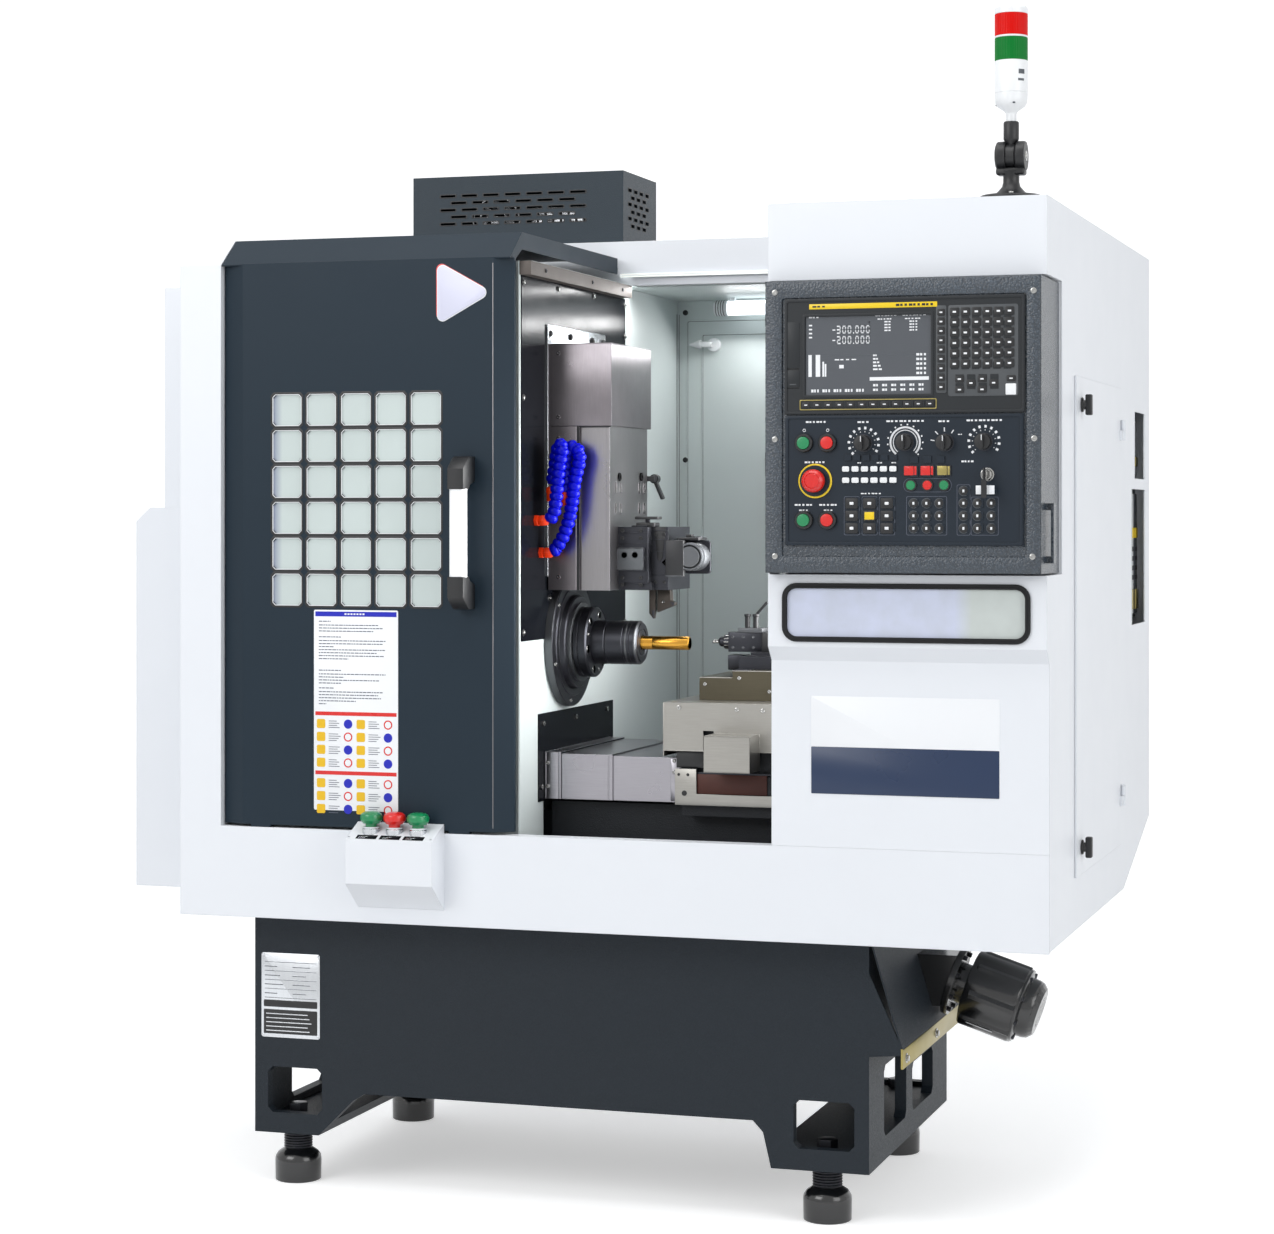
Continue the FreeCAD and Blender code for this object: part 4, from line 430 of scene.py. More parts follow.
class Shape:
    """A mesh put together from several forms."""

    def __init__(self, material):
        self.mesh = bmesh.new()
        self.materials = [material]
        self.tone = 0

    def tint(self, material):
        """The material of the forms that follow."""
        if material not in self.materials:
            self.materials.append(material)
        self.tone = self.materials.index(material)
        return self

    def join(self, form, turn=None):
        bmesh.ops.recalc_face_normals(form, faces=form.faces)
        for face in form.faces:
            face.material_index = self.tone
        if turn is not None:
            form.transform(turn)
        scratch = bpy.data.meshes.new("scratch")
        form.to_mesh(scratch)
        form.free()
        self.mesh.from_mesh(scratch)
        bpy.data.meshes.remove(scratch)
        return self

    def block(self, x, y, z, bevel=0.0, steps=2, turn=None):
        form = bmesh.new()
        bmesh.ops.create_cube(form, size=1.0)
        for vertex in form.verts:
            for i, (low, high) in enumerate((x, y, z)):
                vertex.co[i] = low + (vertex.co[i] + 0.5) * (high - low)
        soften(form, form.edges[:], bevel, steps)
        return self.join(form, turn)

    def rings(self, axis, levels, bevel=0.0, closed=False, turn=None):
        """Faces through rings of points (outline, level), with softened rims."""
        form = bmesh.new()
        loops = [ring_of(form, axis, outline, level) for outline, level in levels]
        if not closed:
            form.faces.new(loops[0])
            form.faces.new(loops[-1][::-1])
        for one, two in zip(loops, loops[1:] + loops[:1] if closed else loops[1:]):
            bridge(form, one, two)
        soften(form, [e for e in form.edges
                      if any(e.verts[0] in loop and e.verts[1] in loop for loop in loops)], bevel)
        return self.join(form, turn)

    def slab(self, axis, outline, low, high, bevel=0.0, turn=None):
        """An outline on the plane across an axis, made thick from low to high."""
        return self.rings(axis, ((outline, low), (outline, high)), bevel, turn=turn)

    def frame(self, axis, outer, inner, low, high, bevel=0.0):
        """A ring between two outlines with the same number of points."""
        return self.rings(axis, ((outer, low), (outer, high), (inner, high), (inner, low)), bevel,
                          closed=True)

    def turned(self, axis, spot, profile, sides=36, face=0.0, out=1, turn=None):
        """Profile lists (how far out from the face along the axis, radius)."""
        form = bmesh.new()
        rings = [ring_of(form, axis, circle(*spot, radius, sides) if radius else [spot],
                         face + out * level) for level, radius in profile]
        for one, two in zip(rings, rings[1:]):
            bridge(form, one, two)
        for ring in (rings[0], rings[-1]):
            if len(ring) > 2:
                form.faces.new(ring)
        return self.join(form, turn)

    def screws(self, axis, spots, face, out, radius=3.0, height=1.8):
        """Small socket-head screws on a face; out is +1 or -1 along the axis."""
        for spot in spots:
            self.turned(axis, spot, [
                (0, radius), (height - 0.4, radius), (height, radius * 0.82),
                (height, radius * 0.45), (height * 0.4, radius * 0.4), (height * 0.4, 0)],
                        14, face, out)
        return self

    def piece(self, name, body, slot, crease=32):
        mesh = bpy.data.meshes.new(name)
        bmesh.ops.scale(self.mesh, vec=(MM, MM, MM), verts=self.mesh.verts)
        self.mesh.to_mesh(mesh)
        self.mesh.free()
        for material in self.materials:
            mesh.materials.append(material)
        mesh.polygons.foreach_set("use_smooth", [True] * len(mesh.polygons))
        mesh.set_sharp_from_angle(angle=math.radians(crease))
        thing = bpy.data.objects.new(name, mesh)
        bpy.context.scene.collection.objects.link(thing)
        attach(thing, body)
        return thing


class Front(Shape):
    """A shape on a face that looks to the front, with depths measured out of and into it."""

    def __init__(self, face, material):
        super().__init__(material)
        self.face = face

    def sheet(self, outline, proud, sunk=0.1, bevel=0.0):
        return self.slab("y", outline, self.face - proud, self.face + sunk, bevel)

    def plate(self, sides, radius, proud, sunk=0.1, bevel=0.0, steps=5):
        return self.sheet(rounded(*sides, radius, steps), proud, sunk, bevel)

    def bar(self, sides, proud, sunk=0.1, bevel=0.0):
        return self.block(sides[:2], (self.face - proud, self.face + sunk), sides[2:], bevel)

    def rim(self, sides, radius, width, inner, proud, sunk=0.1, bevel=0.0, steps=5):
        """A ring of even width; radius and inner are the radii of its corners."""
        return self.frame("y", rounded(*sides, radius, steps),
                          rounded(*inset(sides, width), inner, steps),
                          self.face - proud, self.face + sunk, bevel)

    def stud(self, spot, profile, sides=36):
        return self.turned("y", spot, profile, sides, self.face, -1)

    def caption(self, left, right, z, count, height=1.2, base=0.0):
        """Short strokes in a row, of two lengths by turns."""
        pitch = (right - left) / count
        for i in range(count):
            start = left + pitch * i
            end = start + pitch * (0.55 if (i * 7) % 3 else 0.8)
            self.bar((start, end, z, z + height), base + 0.25, 0.1 - base)
        return self


# ---------------------------------------------------------------- sliding door

DOOR_FACE = -636
GRID_LEFT, GRID_LOW = -564, 1107
GRID_PITCH_X, GRID_PITCH_Z = 69.75, 67
COLUMNS, ROWS, HOLE = 5, 6, 60


def door_grid():
    """Pale lips with dark outlines round the window holes, and the pane's black gasket."""
    rims = Front(DOOR_FACE, BLACK)
    for i in range(COLUMNS):
        for j in range(ROWS):
            u, v = GRID_LEFT + GRID_PITCH_X * i, GRID_LOW + GRID_PITCH_Z * j
            outer, middle, inner = (chamfered(*inset((u, u + HOLE, v, v + HOLE), by), corner)
                                    for by, corner in ((-3.4, 6.4), (0.3, 5.6), (1.5, 5.2)))
            rims.tint(BLACK).frame("y", outer, middle, DOOR_FACE - 0.5, DOOR_FACE + 0.1, 0.15)
            rims.tint(WHITE_PLASTIC)
            rims.frame("y", middle, inner, DOOR_FACE - 0.3, DOOR_FACE + 2.9, 0.2)
    rims.piece("door_window_rims", "front_door", "black_rubber")
    grid = (GRID_LEFT, GRID_LEFT + GRID_PITCH_X * (COLUMNS - 1) + HOLE,
            GRID_LOW, GRID_LOW + GRID_PITCH_Z * (ROWS - 1) + HOLE)
    gasket = Front(DOOR_FACE, RUBBER)
    gasket.rim(inset(grid, -26), 14, 13.5, 6, -3.05, 9, 1)
    gasket.piece("door_pane_gasket", "front_door", "black_rubber")


def door_handle():
    """A pale oval grip held by two angular black end brackets."""
    low, high = corners("door_handle")
    left, right, out = low.x + 0.2, high.x - 0.2, low.y
    bracket = Front(DOOR_FACE, BLACK)
    for z, sign in ((low.z, 1), (high.z, -1)):
        outline = [(DOOR_FACE, 0), (DOOR_FACE, 46), (out + 33, 50), (out + 31, 60), (out, 60),
                   (out, 23), (out + 4, 18), (out + 26, 2), (out + 32, 0)]
        bracket.tint(BLACK).slab("x", [(y, z + sign * up) for y, up in outline], left, right, 2.0)
        bracket.tint(GROUND).screws("x", [(DOOR_FACE - 14, z + sign * 26)], right, 1, 0.1, 0.05)
        bracket.stud(((left + right) / 2, z + sign * 9), [
            (33, 5.0), (37, 5.0), (37.5, 4.2), (37.5, 2.4), (35, 2.2), (35, 0)], 18)
    bracket.piece("handle_brackets", "front_door", "black_plastic")
    grip = Shape(PALE_GRIP)
    start, end = low.z + 58, high.z - 58
    grip.slab("z", rounded(left + 0.4, right - 0.4, out + 1.5, out + 31, 12, 8), start, end)
    for z in (start + 2, end - 3.4):
        grip.frame("z", rounded(left + 0.1, right - 0.1, out + 1.2, out + 31.3, 12, 8),
                   rounded(left + 1, right - 1, out + 2, out + 30, 11, 8), z, z + 1.4, 0.3)
    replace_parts(grip.piece("handle_grip", "front_door", "aluminium"), "door_handle")


def door_marker():
    """A rounded three-cornered plate with a red edge."""
    marker = Front(DOOR_FACE, RED_CAP)
    middle = (-189, 1683)

    def outline(radius, move):
        points = []
        for x, z in ((-222, 1724), (-222, 1643), (-148, 1683)):
            way = math.atan2(z - middle[1], x - middle[0])
            points += [polar(radius, way + math.radians(20 * k - 60), (x + move[0], z + move[1]))
                       for k in range(7)]
        return points
    marker.sheet(outline(11, (-1.6, 2.0)), 0.5, 0.2, 0.2)
    marker.tint(PAPER).sheet(outline(11.5, (0.4, -0.6)), 0.8, 0.2, 0.2)
    marker.tint(LILAC).sheet(outline(10, (0.4, -0.6)), 1.0, -0.7, 0.2)
    marker.piece("door_corner_plate", "front_door", "white_plastic")


def door_sheet():
    """A ruled sheet: a blue head, blocks of strokes, and rows of plain squares and dots."""
    sheet = Front(DOOR_FACE - 0.5, PAPER)
    left, right, low, top = -479, -310, 728, 1100
    sheet.plate((left, right, low, top), 3, 0, 0.7, 0.15)
    sheet.tint(BRIGHT_BLUE).bar((left + 3, right - 3, top - 12, top - 3), 0.25, 0).tint(PAPER)
    for i in range(7):
        sheet.bar((left + 62 + 6 * i, left + 66 + 6 * i, top - 9, top - 6), 0.4, -0.2)
    sheet.tint(INK)
    paragraphs = ((22, (0.16,)), (29, (0.8, 0.86, 0.74)), (51, (0.3,)),
                  (58, (0.9, 0.86, 0.2, 0.9, 0.78, 0.88, 0.4)), (113, (0.3,)),
                  (120, (0.9, 0.34, 0.82, 0.3)), (146, (0.2,)), (153, (0.86, 0.8, 0.84, 0.5, 0.1)))
    for drop, shares in paragraphs:
        for k, share in enumerate(shares):
            x, z = left + 10, top - drop - 5.6 * k
            end = left + 10 + (right - left - 20) * share
            step = 0
            while x < end:
                wide = 3.0 + (step * 7 + k * 5 + drop) % 6
                sheet.bar((x, min(x + wide, end), z, z + 1.7), 0.2, 0)
                x += wide + 1.3
                step += 1
    bands = ((top - 196, 4), (top - 306, 3))
    sheet.tint(RED_CAP)
    for z, _ in bands:
        sheet.bar((left + 3, right - 3, z, z + 7), 0.25, 0)
    for band, count in bands:
        for j in range(count):
            z = band - 24 - 24 * j
            for i in range(2):
                x = left + 6 + 80 * i
                sheet.tint(OCHRE).plate((x, x + 17, z, z + 17), 3, 0.25, 0).tint(INK)
                for k in range(4):
                    sheet.bar((x + 24, x + 40 + (k * 5 + j * 3) % 9, z + 13 - 4 * k,
                               z + 14.2 - 4 * k), 0.2, 0)
                ring, dot = ((BRIGHT_BLUE, BRIGHT_BLUE), (RED_CAP, PAPER))[(i + j) % 2]
                x, y = x + 63, z + 8.5
                sheet.tint(ring).frame("y", circle(x, y, 8.6), circle(x, y, 6.2),
                                       sheet.face - 0.25, sheet.face)
                sheet.tint(dot).stud((x, y), [(0, 6.2), (0.2, 6.2), (0.2, 0)], 28)
    sheet.piece("door_ruled_sheet", "front_door", "white_plastic")


def door_trim():
    """Seal lip along the right edge, a black strip in the gap under the roof cover as painted
    shade, and a bright line on the door's fold as a painted highlight.
    """
    low, high = corners("sliding_door")
    trim = Shape(RUBBER)
    trim.slab("z", [(-92, -606.5), (-90.2, -606.5), (-90.2, -612), (-92, -612)],
              low.z + 10, 1738, 0.4)
    # painted shade: a black strip in the gap under the roof cover
    trim.block((low.x + 6, high.x - 6), (-632.6, -629), (1744.5, 1746.5), 0.4)
    trim.piece("door_seal_and_gap_shade_strips", "front_door", "black_rubber")
    # painted highlight: a thin bright line along the door's fold
    fold = Front(DOOR_FACE, STAINLESS)
    fold.bar((-124.2, -122.8, low.z + 12, 1736), 0.5, 0.1, 0.2)
    fold.piece("door_fold_painted_highlight", "front_door", "stainless_sheet")


# ---------------------------------------------------------------- control unit

BOX_FACE, PANEL_FACE = -690, -696
DISPLAY_SIDES = (442, 863, 1451, 1651)
KNOBS = {"mode_knob": (583, 1400, "mode_selector"), "feed_knob": (656, 1401, "feed_selector"),
         "spindle_knob": (726, 1400, "spindle_selector"),
         "rapid_knob": (793, 1401, "rapid_selector")}
BUTTONS = {"power_on_button": (477, 1401, "power_on", GREEN_CAP, "green_plastic"),
           "power_off_button": (519, 1401, "power_off", RED_CAP, "red_plastic"),
           "start_button": (477, 1267, "start", GREEN_CAP, "green_plastic"),
           "hold_button": (519, 1267, "hold", RED_CAP, "red_plastic")}
STOP, KEY_LOCK = (497, 1335), (799, 1345)
KEYS_X = (562, 593.5, 624)
KEYS_Z = (1253, 1274.5, 1296)
ROUND_X = (671, 693.5, 716)
AXIS_X = (758, 782, 806)
LAMP_X = (666, 695, 724)


def control_frame():
    """A raised rim round the box face, with cap screws and hinge covers."""
    low, high = corners("control_box")
    right = 890
    rim = Shape(CHARCOAL)
    rim.frame("y", rounded(low.x + 1, right - 1, low.z + 1, high.z - 1, 6),
              rounded(low.x + 31, right - 25, low.z + 29, high.z - 31, 4),
              BOX_FACE - 4, BOX_FACE + 0.2, 1.6)
    rim.tint(GROUND).screws("y", ((424, 1664), (878, 1657), (424, 1408), (879, 1406), (424, 1204),
                                  (876, 1205)), BOX_FACE - 4, -1, 5.2, 2.4)
    rim.tint(BLACK)
    for z in (1365, 1626):
        rim.block((low.x - 0.6, low.x + 6), (BOX_FACE - 1, BOX_FACE + 9), (z - 22, z + 22), 1.5)
    rim.piece("control_box_rim", "control_unit", "charcoal_paint")


def display_bezel():
    """The display's rims, yellow head strip, soft-key outline, key plates and card flap."""
    left, _, low, top = DISPLAY_SIDES
    bezel = Front(PANEL_FACE, DISPLAY)
    bezel.rim(DISPLAY_SIDES, 4, 5, 3, 1.4, bevel=0.5)
    bezel.rim((left + 32, left + 264, low + 28, top - 26), 3, 5, 2, 1.0, bevel=0.4)
    bezel.tint(YELLOW).bar((left + 44, left + 270, top - 18, top - 9), 0.9, bevel=0.3)
    bezel.tint(BLACK).caption(left + 198, left + 266, top - 15.5, 9, 4, 0.9)
    bezel.caption(left + 50, left + 76, top - 15, 3, 3, 0.9)
    bezel.tint(KHAKI).rim((left + 27, left + 269, low + 7, low + 25), 2, 1.6, 1.6, 1.2, bevel=0.3)
    bezel.tint(GREY_PLATE).plate((left + 289, left + 410, low + 28, low + 184), 4, 0.8, bevel=0.3)
    bezel.plate((left + 268, left + 286, low + 34, low + 184), 3, 0.8, bevel=0.3)
    bezel.piece("display_bezel", "control_unit", "panel_plastic")
    flap = Front(PANEL_FACE, DISPLAY)
    for z0, z1 in ((46, 78), (79.5, 162)):
        edge = (left + 3, left + 28, low + z0, low + z1)
        flap.tint(BLACK).plate(edge, 2, -0.1, 2, 0.2)
        flap.tint(DISPLAY).plate(inset(edge, 1.2), 2, 0.6, 2, 0.5)
    flap.tint(GREY_PLATE).bar((left + 9, left + 21, low + 51, low + 53), 1.0, -0.5, 0.2)
    flap.piece("display_card_flap", "control_unit", "panel_plastic")


def display_screen():
    """The screen with plain figures, bars and strokes."""
    left, _, low, top = DISPLAY_SIDES
    screen = Front(PANEL_FACE + 2.2, SCREEN)
    u0, v0 = left + 37, low + 33
    screen.plate((u0, left + 259, v0, top - 31), 1.5, 0, 0.8).tint(PAPER)

    def lit(u, v, wide, high):
        screen.bar((u, u + wide, v, v + high), 0.2, 0)

    def strokes(u, v, wide, high, count):
        screen.caption(u0 + u, u0 + u + wide, v0 + v, count, high)
    digits = {"0": "abcdef", "2": "abdeg", "3": "abcdg"}
    bars = {"a": (0, 9.4, 8, 1.8), "b": (6.2, 4.7, 1.8, 6.5), "c": (6.2, 0, 1.8, 6.5),
            "d": (0, 0, 8, 1.8), "e": (0, 0, 1.8, 6.5), "f": (0, 4.7, 1.8, 6.5),
            "g": (0, 4.7, 8, 1.8)}
    for text, base in (("300.000", v0 + 106), ("200.000", v0 + 88)):
        x = u0 + 56
        lit(x - 8, base + 5.6, 5, 2)
        for sign in text:
            if sign == ".":
                lit(x, base, 2, 2)
                x += 4
                continue
            for bar in digits[sign]:
                du, dv, wide, high = bars[bar]
                lit(x + du * 0.8, base + dv * 1.25, wide * 0.8, high * 1.25)
            x += 9.5
    strokes(6, 134, 20, 3, 3)
    for u, wide in ((124, 38), (172, 42)):
        strokes(u, 135, wide, 4, 7)
        strokes(u + 4, 129, wide * 0.7, 2, 5)
    for k in range(4):
        strokes(140, 124 - 5 * k, 14, 2.4, 2)
        strokes(184, 124 - 5 * k, 16, 2.4, 3)
        strokes(112, 124 - 10 * (k % 2), 3, 2, 1)
        strokes(6, 120 - 7 * k, 7, 2.6, 1)
    for u, wide, high in ((5, 6, 38), (18, 8, 38), (30, 3, 26), (34, 3, 22)):
        lit(u0 + u, v0 + 32, wide, high)
    strokes(52, 60, 40, 2, 4)
    strokes(60, 46, 10, 6, 1)
    for k in range(5):
        strokes(120, 66 - 6 * k, 8 + 3 * k, 3, 2)
        strokes(196, 66 - 8 * k, 20, 4, 3)
    lit(u0 + 114, v0 + 24, 104, 6)
    for k in range(6):
        strokes(120 + 16 * k, 14, 11, 4, 2)
        strokes(120 + 16 * k, 6, 11, 4, 2)
    for k in range(5):
        strokes(10 + 20 * k, 5, 16, 5, 3)
    screen.tint(GREY_KEY)
    for v in (68, 132):
        screen.bar((u0 + 2, u0 + 218, v0 + v, v0 + v + 1), 0.15, 0)
    screen.piece("display_screen", "control_unit", "panel_plastic")


def display_keys():
    """Black key tops with pale marks, and one white key."""
    left, _, low, _ = DISPLAY_SIDES
    caps = Front(PANEL_FACE, BLACK)

    def key(u, v, wide, high, cap=BLACK):
        x, z = left + u, low + v
        caps.tint(cap).plate(inset((x, x + wide, z, z + high), -0.6), 1.6, 2.6, bevel=0.6, steps=2)
        if cap is BLACK:
            caps.tint(PAPER).bar((x + wide * 0.3, x + wide * 0.7, z + high * 0.36, z + high * 0.6),
                                 2.8, -2.5)
    for i in range(12):
        key(32 + 19.9 * i, 12, 13, 8)
    for j in range(9):
        key(271, 39 + 16 * j, 12, 10.5)
    for i in range(6):
        for j in range(6):
            key(293 + 19 * i, 77 + 17.8 * j, 14.5, 13)
    for u, v in ((302, 52), (322, 45), (341, 52), (361, 45), (341, 34), (302, 34)):
        key(u, v, 14, 10.5)
    key(391, 53, 14, 9)
    key(389, 30, 17, 18, WHITE_PLASTIC)
    caps.piece("display_key_caps", "control_unit", "black_plastic")


def panel_prints():
    """Dial marks, caption strokes and key-field outlines printed on the operator panel."""
    ink = Front(PANEL_FACE, PAPER)

    def scale(node, start, pitch, count, near, far, half):
        x, z, _ = KNOBS[node]
        for k in range(count):
            ink.block((near, far), (PANEL_FACE - 0.25, PANEL_FACE + 0.1), (-half, half),
                      turn=spun((x, 0, z), pitch * k - start, "Y"))
    for node in ("mode_knob", "rapid_knob"):
        scale(node, 222, 23, 12, 24, 28.6, 2.0)
        scale(node, 222, 23, 12, 19, 21, 0.6)
    for near, far in ((20, 21.6), (24, 27.4)):
        scale("feed_knob", 228, 6, 46, near, far, far * 0.055)
    scale("feed_knob", 228, 20.8, 14, 29.5, 32, 1.3)
    scale("spindle_knob", 170, 38, 4, 19, 26, 0.9)
    for left, right, z, count, height in (
            (748, 757, 1413, 2, 1.6), (572, 595, 1435, 3, 3), (623, 692, 1436, 9, 3),
            (714, 736, 1435, 3, 3), (763, 827, 1436, 9, 3), (480, 518, 1436, 6, 3),
            (478, 516, 1366, 6, 3), (460, 494, 1292, 5, 3), (468, 486, 1283, 3, 2.4),
            (504, 538, 1292, 5, 3), (512, 530, 1283, 3, 2.4), (572, 580, 1365, 2, 2),
            (606, 618, 1365, 2, 2), (632, 642, 1365, 2, 2), (578, 616, 1312, 6, 2),
            (754, 776, 1366, 4, 3)):
        ink.caption(left, right, z, count, height)
    for x in (477, 519):
        ink.frame("y", circle(x, 1423, 2.8, 20), circle(x, 1423, 1.8, 20),
                  PANEL_FACE - 0.25, PANEL_FACE + 0.1)
    ink.tint(INK)
    fields = [(x - 14, x + 14, 1308) for x in KEYS_X]
    fields += [(ROUND_X[0] - 13, ROUND_X[2] + 13, 1308), (AXIS_X[0] - 12, AXIS_X[0] + 11.5, 1328),
               (AXIS_X[1] - 11.5, AXIS_X[2] + 12, 1307)]
    for left, right, top in fields:
        ink.rim((left, right, 1241, top), 3, 0.8, 2.4, 0.25)
    ink.rim((LAMP_X[0] - 13, LAMP_X[2] + 13, 1315, 1339), 11, 0.8, 10.3, 0.25)
    ink.piece("panel_prints", "control_unit", "white_plastic")


def panel_keys():
    """Square and round key tops and indicator lamps."""
    caps = Front(PANEL_FACE, BLACK)

    def key(x, z, wide, high, material, proud, radius=2.2):
        caps.tint(material).plate(centred(x, z, wide, high), radius, proud + 1, bevel=0.7, steps=3)

    def round_key(x, z):
        caps.tint(GREY_KEY).stud((x, z), [(0, 9), (1.4, 9), (1.8, 8.2), (1.4, 7.6)], 28)
        caps.tint(BLACK).stud((x, z), [(0.4, 7.8), (2.4, 7.4), (3, 5.6), (3, 0)], 28)
        caps.tint(PAPER).bar(centred(x, z, 3.6, 4.8), 3.2, -2.9, 0.2)
    for i in range(6):
        for z in (1355.5, 1336):
            key(551.5 + 16.7 * i, z, 12.6, 9.4, WHITE_PLASTIC, 2.6)
    for x in KEYS_X:
        for z in KEYS_Z:
            key(x, z, 22, 18, BLACK, 2)
            middle = (x, z) == (KEYS_X[1], KEYS_Z[1])
            key(x, z, *((17, 13, YELLOW) if middle else (7, 5, PAPER)), 2.7, 1)
    for x in ROUND_X:
        for z in KEYS_Z:
            round_key(x, z)
    for x in AXIS_X:
        for z in KEYS_Z + ((1317,) if x == AXIS_X[0] else ()):
            round_key(x, z)
    for x, material in zip(LAMP_X, (RED_CAP, RED_CAP, KHAKI)):
        key(x, 1352, 25, 18, BLACK, 1.6, 1.5)
        key(x - 3, 1352, 17, 16, material, 2.6, 1.2)
        key(x + 8.5, 1352, 4, 15, material, 2.6, 0.8)
    for x, material in zip(LAMP_X, (GREEN_CAP, RED_CAP, GREEN_CAP)):
        caps.tint(BLACK).stud((x, 1327), [(0, 10.4), (3.2, 10.2), (3.2, 8)], 28)
        caps.tint(material).stud((x, 1327), [(2.9, 8.2), (4.6, 7), (5, 0)], 28)
    caps.piece("panel_key_caps", "control_unit", "black_plastic")


def panel_rings():
    """Collars of the buttons, knobs, stop and key, and a raised edge round the panel."""
    rings = Front(PANEL_FACE, BLACK)
    for x, z, *_ in BUTTONS.values():
        rings.stud((x, z), [(0, 16.5), (6, 16.0), (7.6, 14.6), (7.6, 11.4), (1, 11.4)], 48)
    rings.tint(YELLOW).stud(STOP, [(0, 30), (2, 30), (3, 28.6), (3, 12.5), (1, 12.2)], 64)
    rings.tint(DARK_STEEL)
    for x, z, _ in KNOBS.values():
        rings.stud((x, z), [(0, 15.4), (1, 15.4), (1.3, 14.8), (1.3, 0)], 48)
    rings.tint(GROUND).stud(KEY_LOCK, [(0, 12), (1.6, 11.6), (2, 10.8), (2, 9.5), (0.1, 9.5)], 40)
    rings.tint(PANEL).rim((444, 860, 1224, 1448), 4, 5, 3, 1.6, bevel=0.5)
    rings.piece("panel_rings", "control_unit", "black_plastic")


def panel_controls():
    """Push buttons, emergency stop, knurled knobs with pointers, and the key."""
    for node, (x, z, body, material, slot) in BUTTONS.items():
        tip = PANEL_FACE - corners(node)[0].y
        cap = Front(PANEL_FACE, material)
        cap.stud((x, z), [(6, 10.9), (tip - 1.2, 10.9), (tip - 0.3, 10.2), (tip, 9.0),
                          (tip - 0.4, 0)], 40)
        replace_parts(cap.piece(node + "_cap", body, slot), node)
    tip = PANEL_FACE - corners("emergency_stop")[0].y
    stop = Front(PANEL_FACE, RED_CAP)
    stop.stud(STOP, [(9.4, 11), (10, 11), (10, 18.5), (12, 20), (20, 20), (tip - 3.5, 18.4),
                     (tip - 0.8, 14.5), (tip - 0.2, 13.6), (tip - 1.2, 13), (tip, 11.6),
                     (tip, 0)], 48)
    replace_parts(stop.piece("emergency_stop_head", "stop", "red_plastic"), "emergency_stop")
    for node, (x, z, body) in KNOBS.items():
        tip = PANEL_FACE - corners(node)[0].y
        knob = Front(PANEL_FACE, BLACK)
        knob.stud((x, z), [(1.4, 14), (4, 14), (4.6, 13.4)], 48)
        knob.sheet(ribbed((x, z), 13.8, 13.0, 3, 72), tip - 7, -4, 0.8)
        knob.plate(centred(x, z, 5.6, 24), 2.2, tip, 7.5 - tip, 0.9, 3)
        knob.tint(PAPER).bar((x - 0.7, x + 0.7, z + 2, z + 11.4), tip + 0.2, 0.5 - tip, 0.15)
        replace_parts(knob.piece(node + "_grip", body, "black_plastic"), node)
    low, high = corners("key_switch")
    x, z = (low.x + high.x) / 2, (low.z + high.z) / 2
    key = Front(PANEL_FACE, GROUND)
    key.stud((x, z), [(0.3, 8.9), (11, 8.9), (12, 8), (12, 0)])
    key.block((x - 1.1, x + 1.1), (low.y + 13, PANEL_FACE - 11), (z - 4, z + 4), 0.4)
    key.tint(BLACK)
    key.slab("x", rounded(low.y, low.y + 15, z - 11, z + 11, 6, 4), x - 1.5, x + 1.5, 0.5)
    key.slab("x", [(low.y + 2, z - 9), (low.y + 6, z - 9), (low.y + 9, z - 24),
                   (low.y + 8, z - 40), (low.y + 3, z - 40), (low.y + 5, z - 24)],
             x - 4.6, x + 4.6, 1)
    key.tint(PAPER).block((x - 15, x + 17), (low.y + 10.6, low.y + 12.2), (z - 34, z - 19), 0.5)
    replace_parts(key.piece("key_switch_key", "key", "black_plastic"), "key_switch")


# ---------------------------------------------------------------- cabinet

def cabinet_window():
    """A rounded rubber moulding with a filler lip round the pane."""
    low, high = corners("window_frame")
    sides = (low.x, high.x, low.z, high.z)
    ring = Front(low.y, RUBBER)
    ring.rim(sides, 26, 9.5, 17, 0, high.y - low.y, 1.8, 8)
    ring.rim(inset(sides, 5.5), 21, 3, 18, 1.6, 1, 0.7, 8)
    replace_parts(ring.piece("window_moulding", "frame", "black_rubber", 40), "window_frame")


def cabinet_plates():
    """A blank plate on the lower cabinet, white above and navy below."""
    plate = Front(-636, PAPER)
    plate.plate((474, 809, 786, 958), 2, 0.7, 0.2, 0.2)
    plate.tint(NAVY).plate((474.5, 808.5, 786.5, 869), 1.5, 0.95, -0.6, 0.1)
    plate.piece("cabinet_blank_plate", "frame", "white_plastic")


# ---------------------------------------------------------------- spindle and chuck

SPINDLE = (-346, 1034)  # y and z of the axis
WALL, BACK_WALL = -85, 394


def around(count, radius, start=0.0):
    """Places on a circle round the spindle axis, as (y, z)."""
    return [polar(radius, math.radians(start + 360 * k / count), SPINDLE) for k in range(count)]


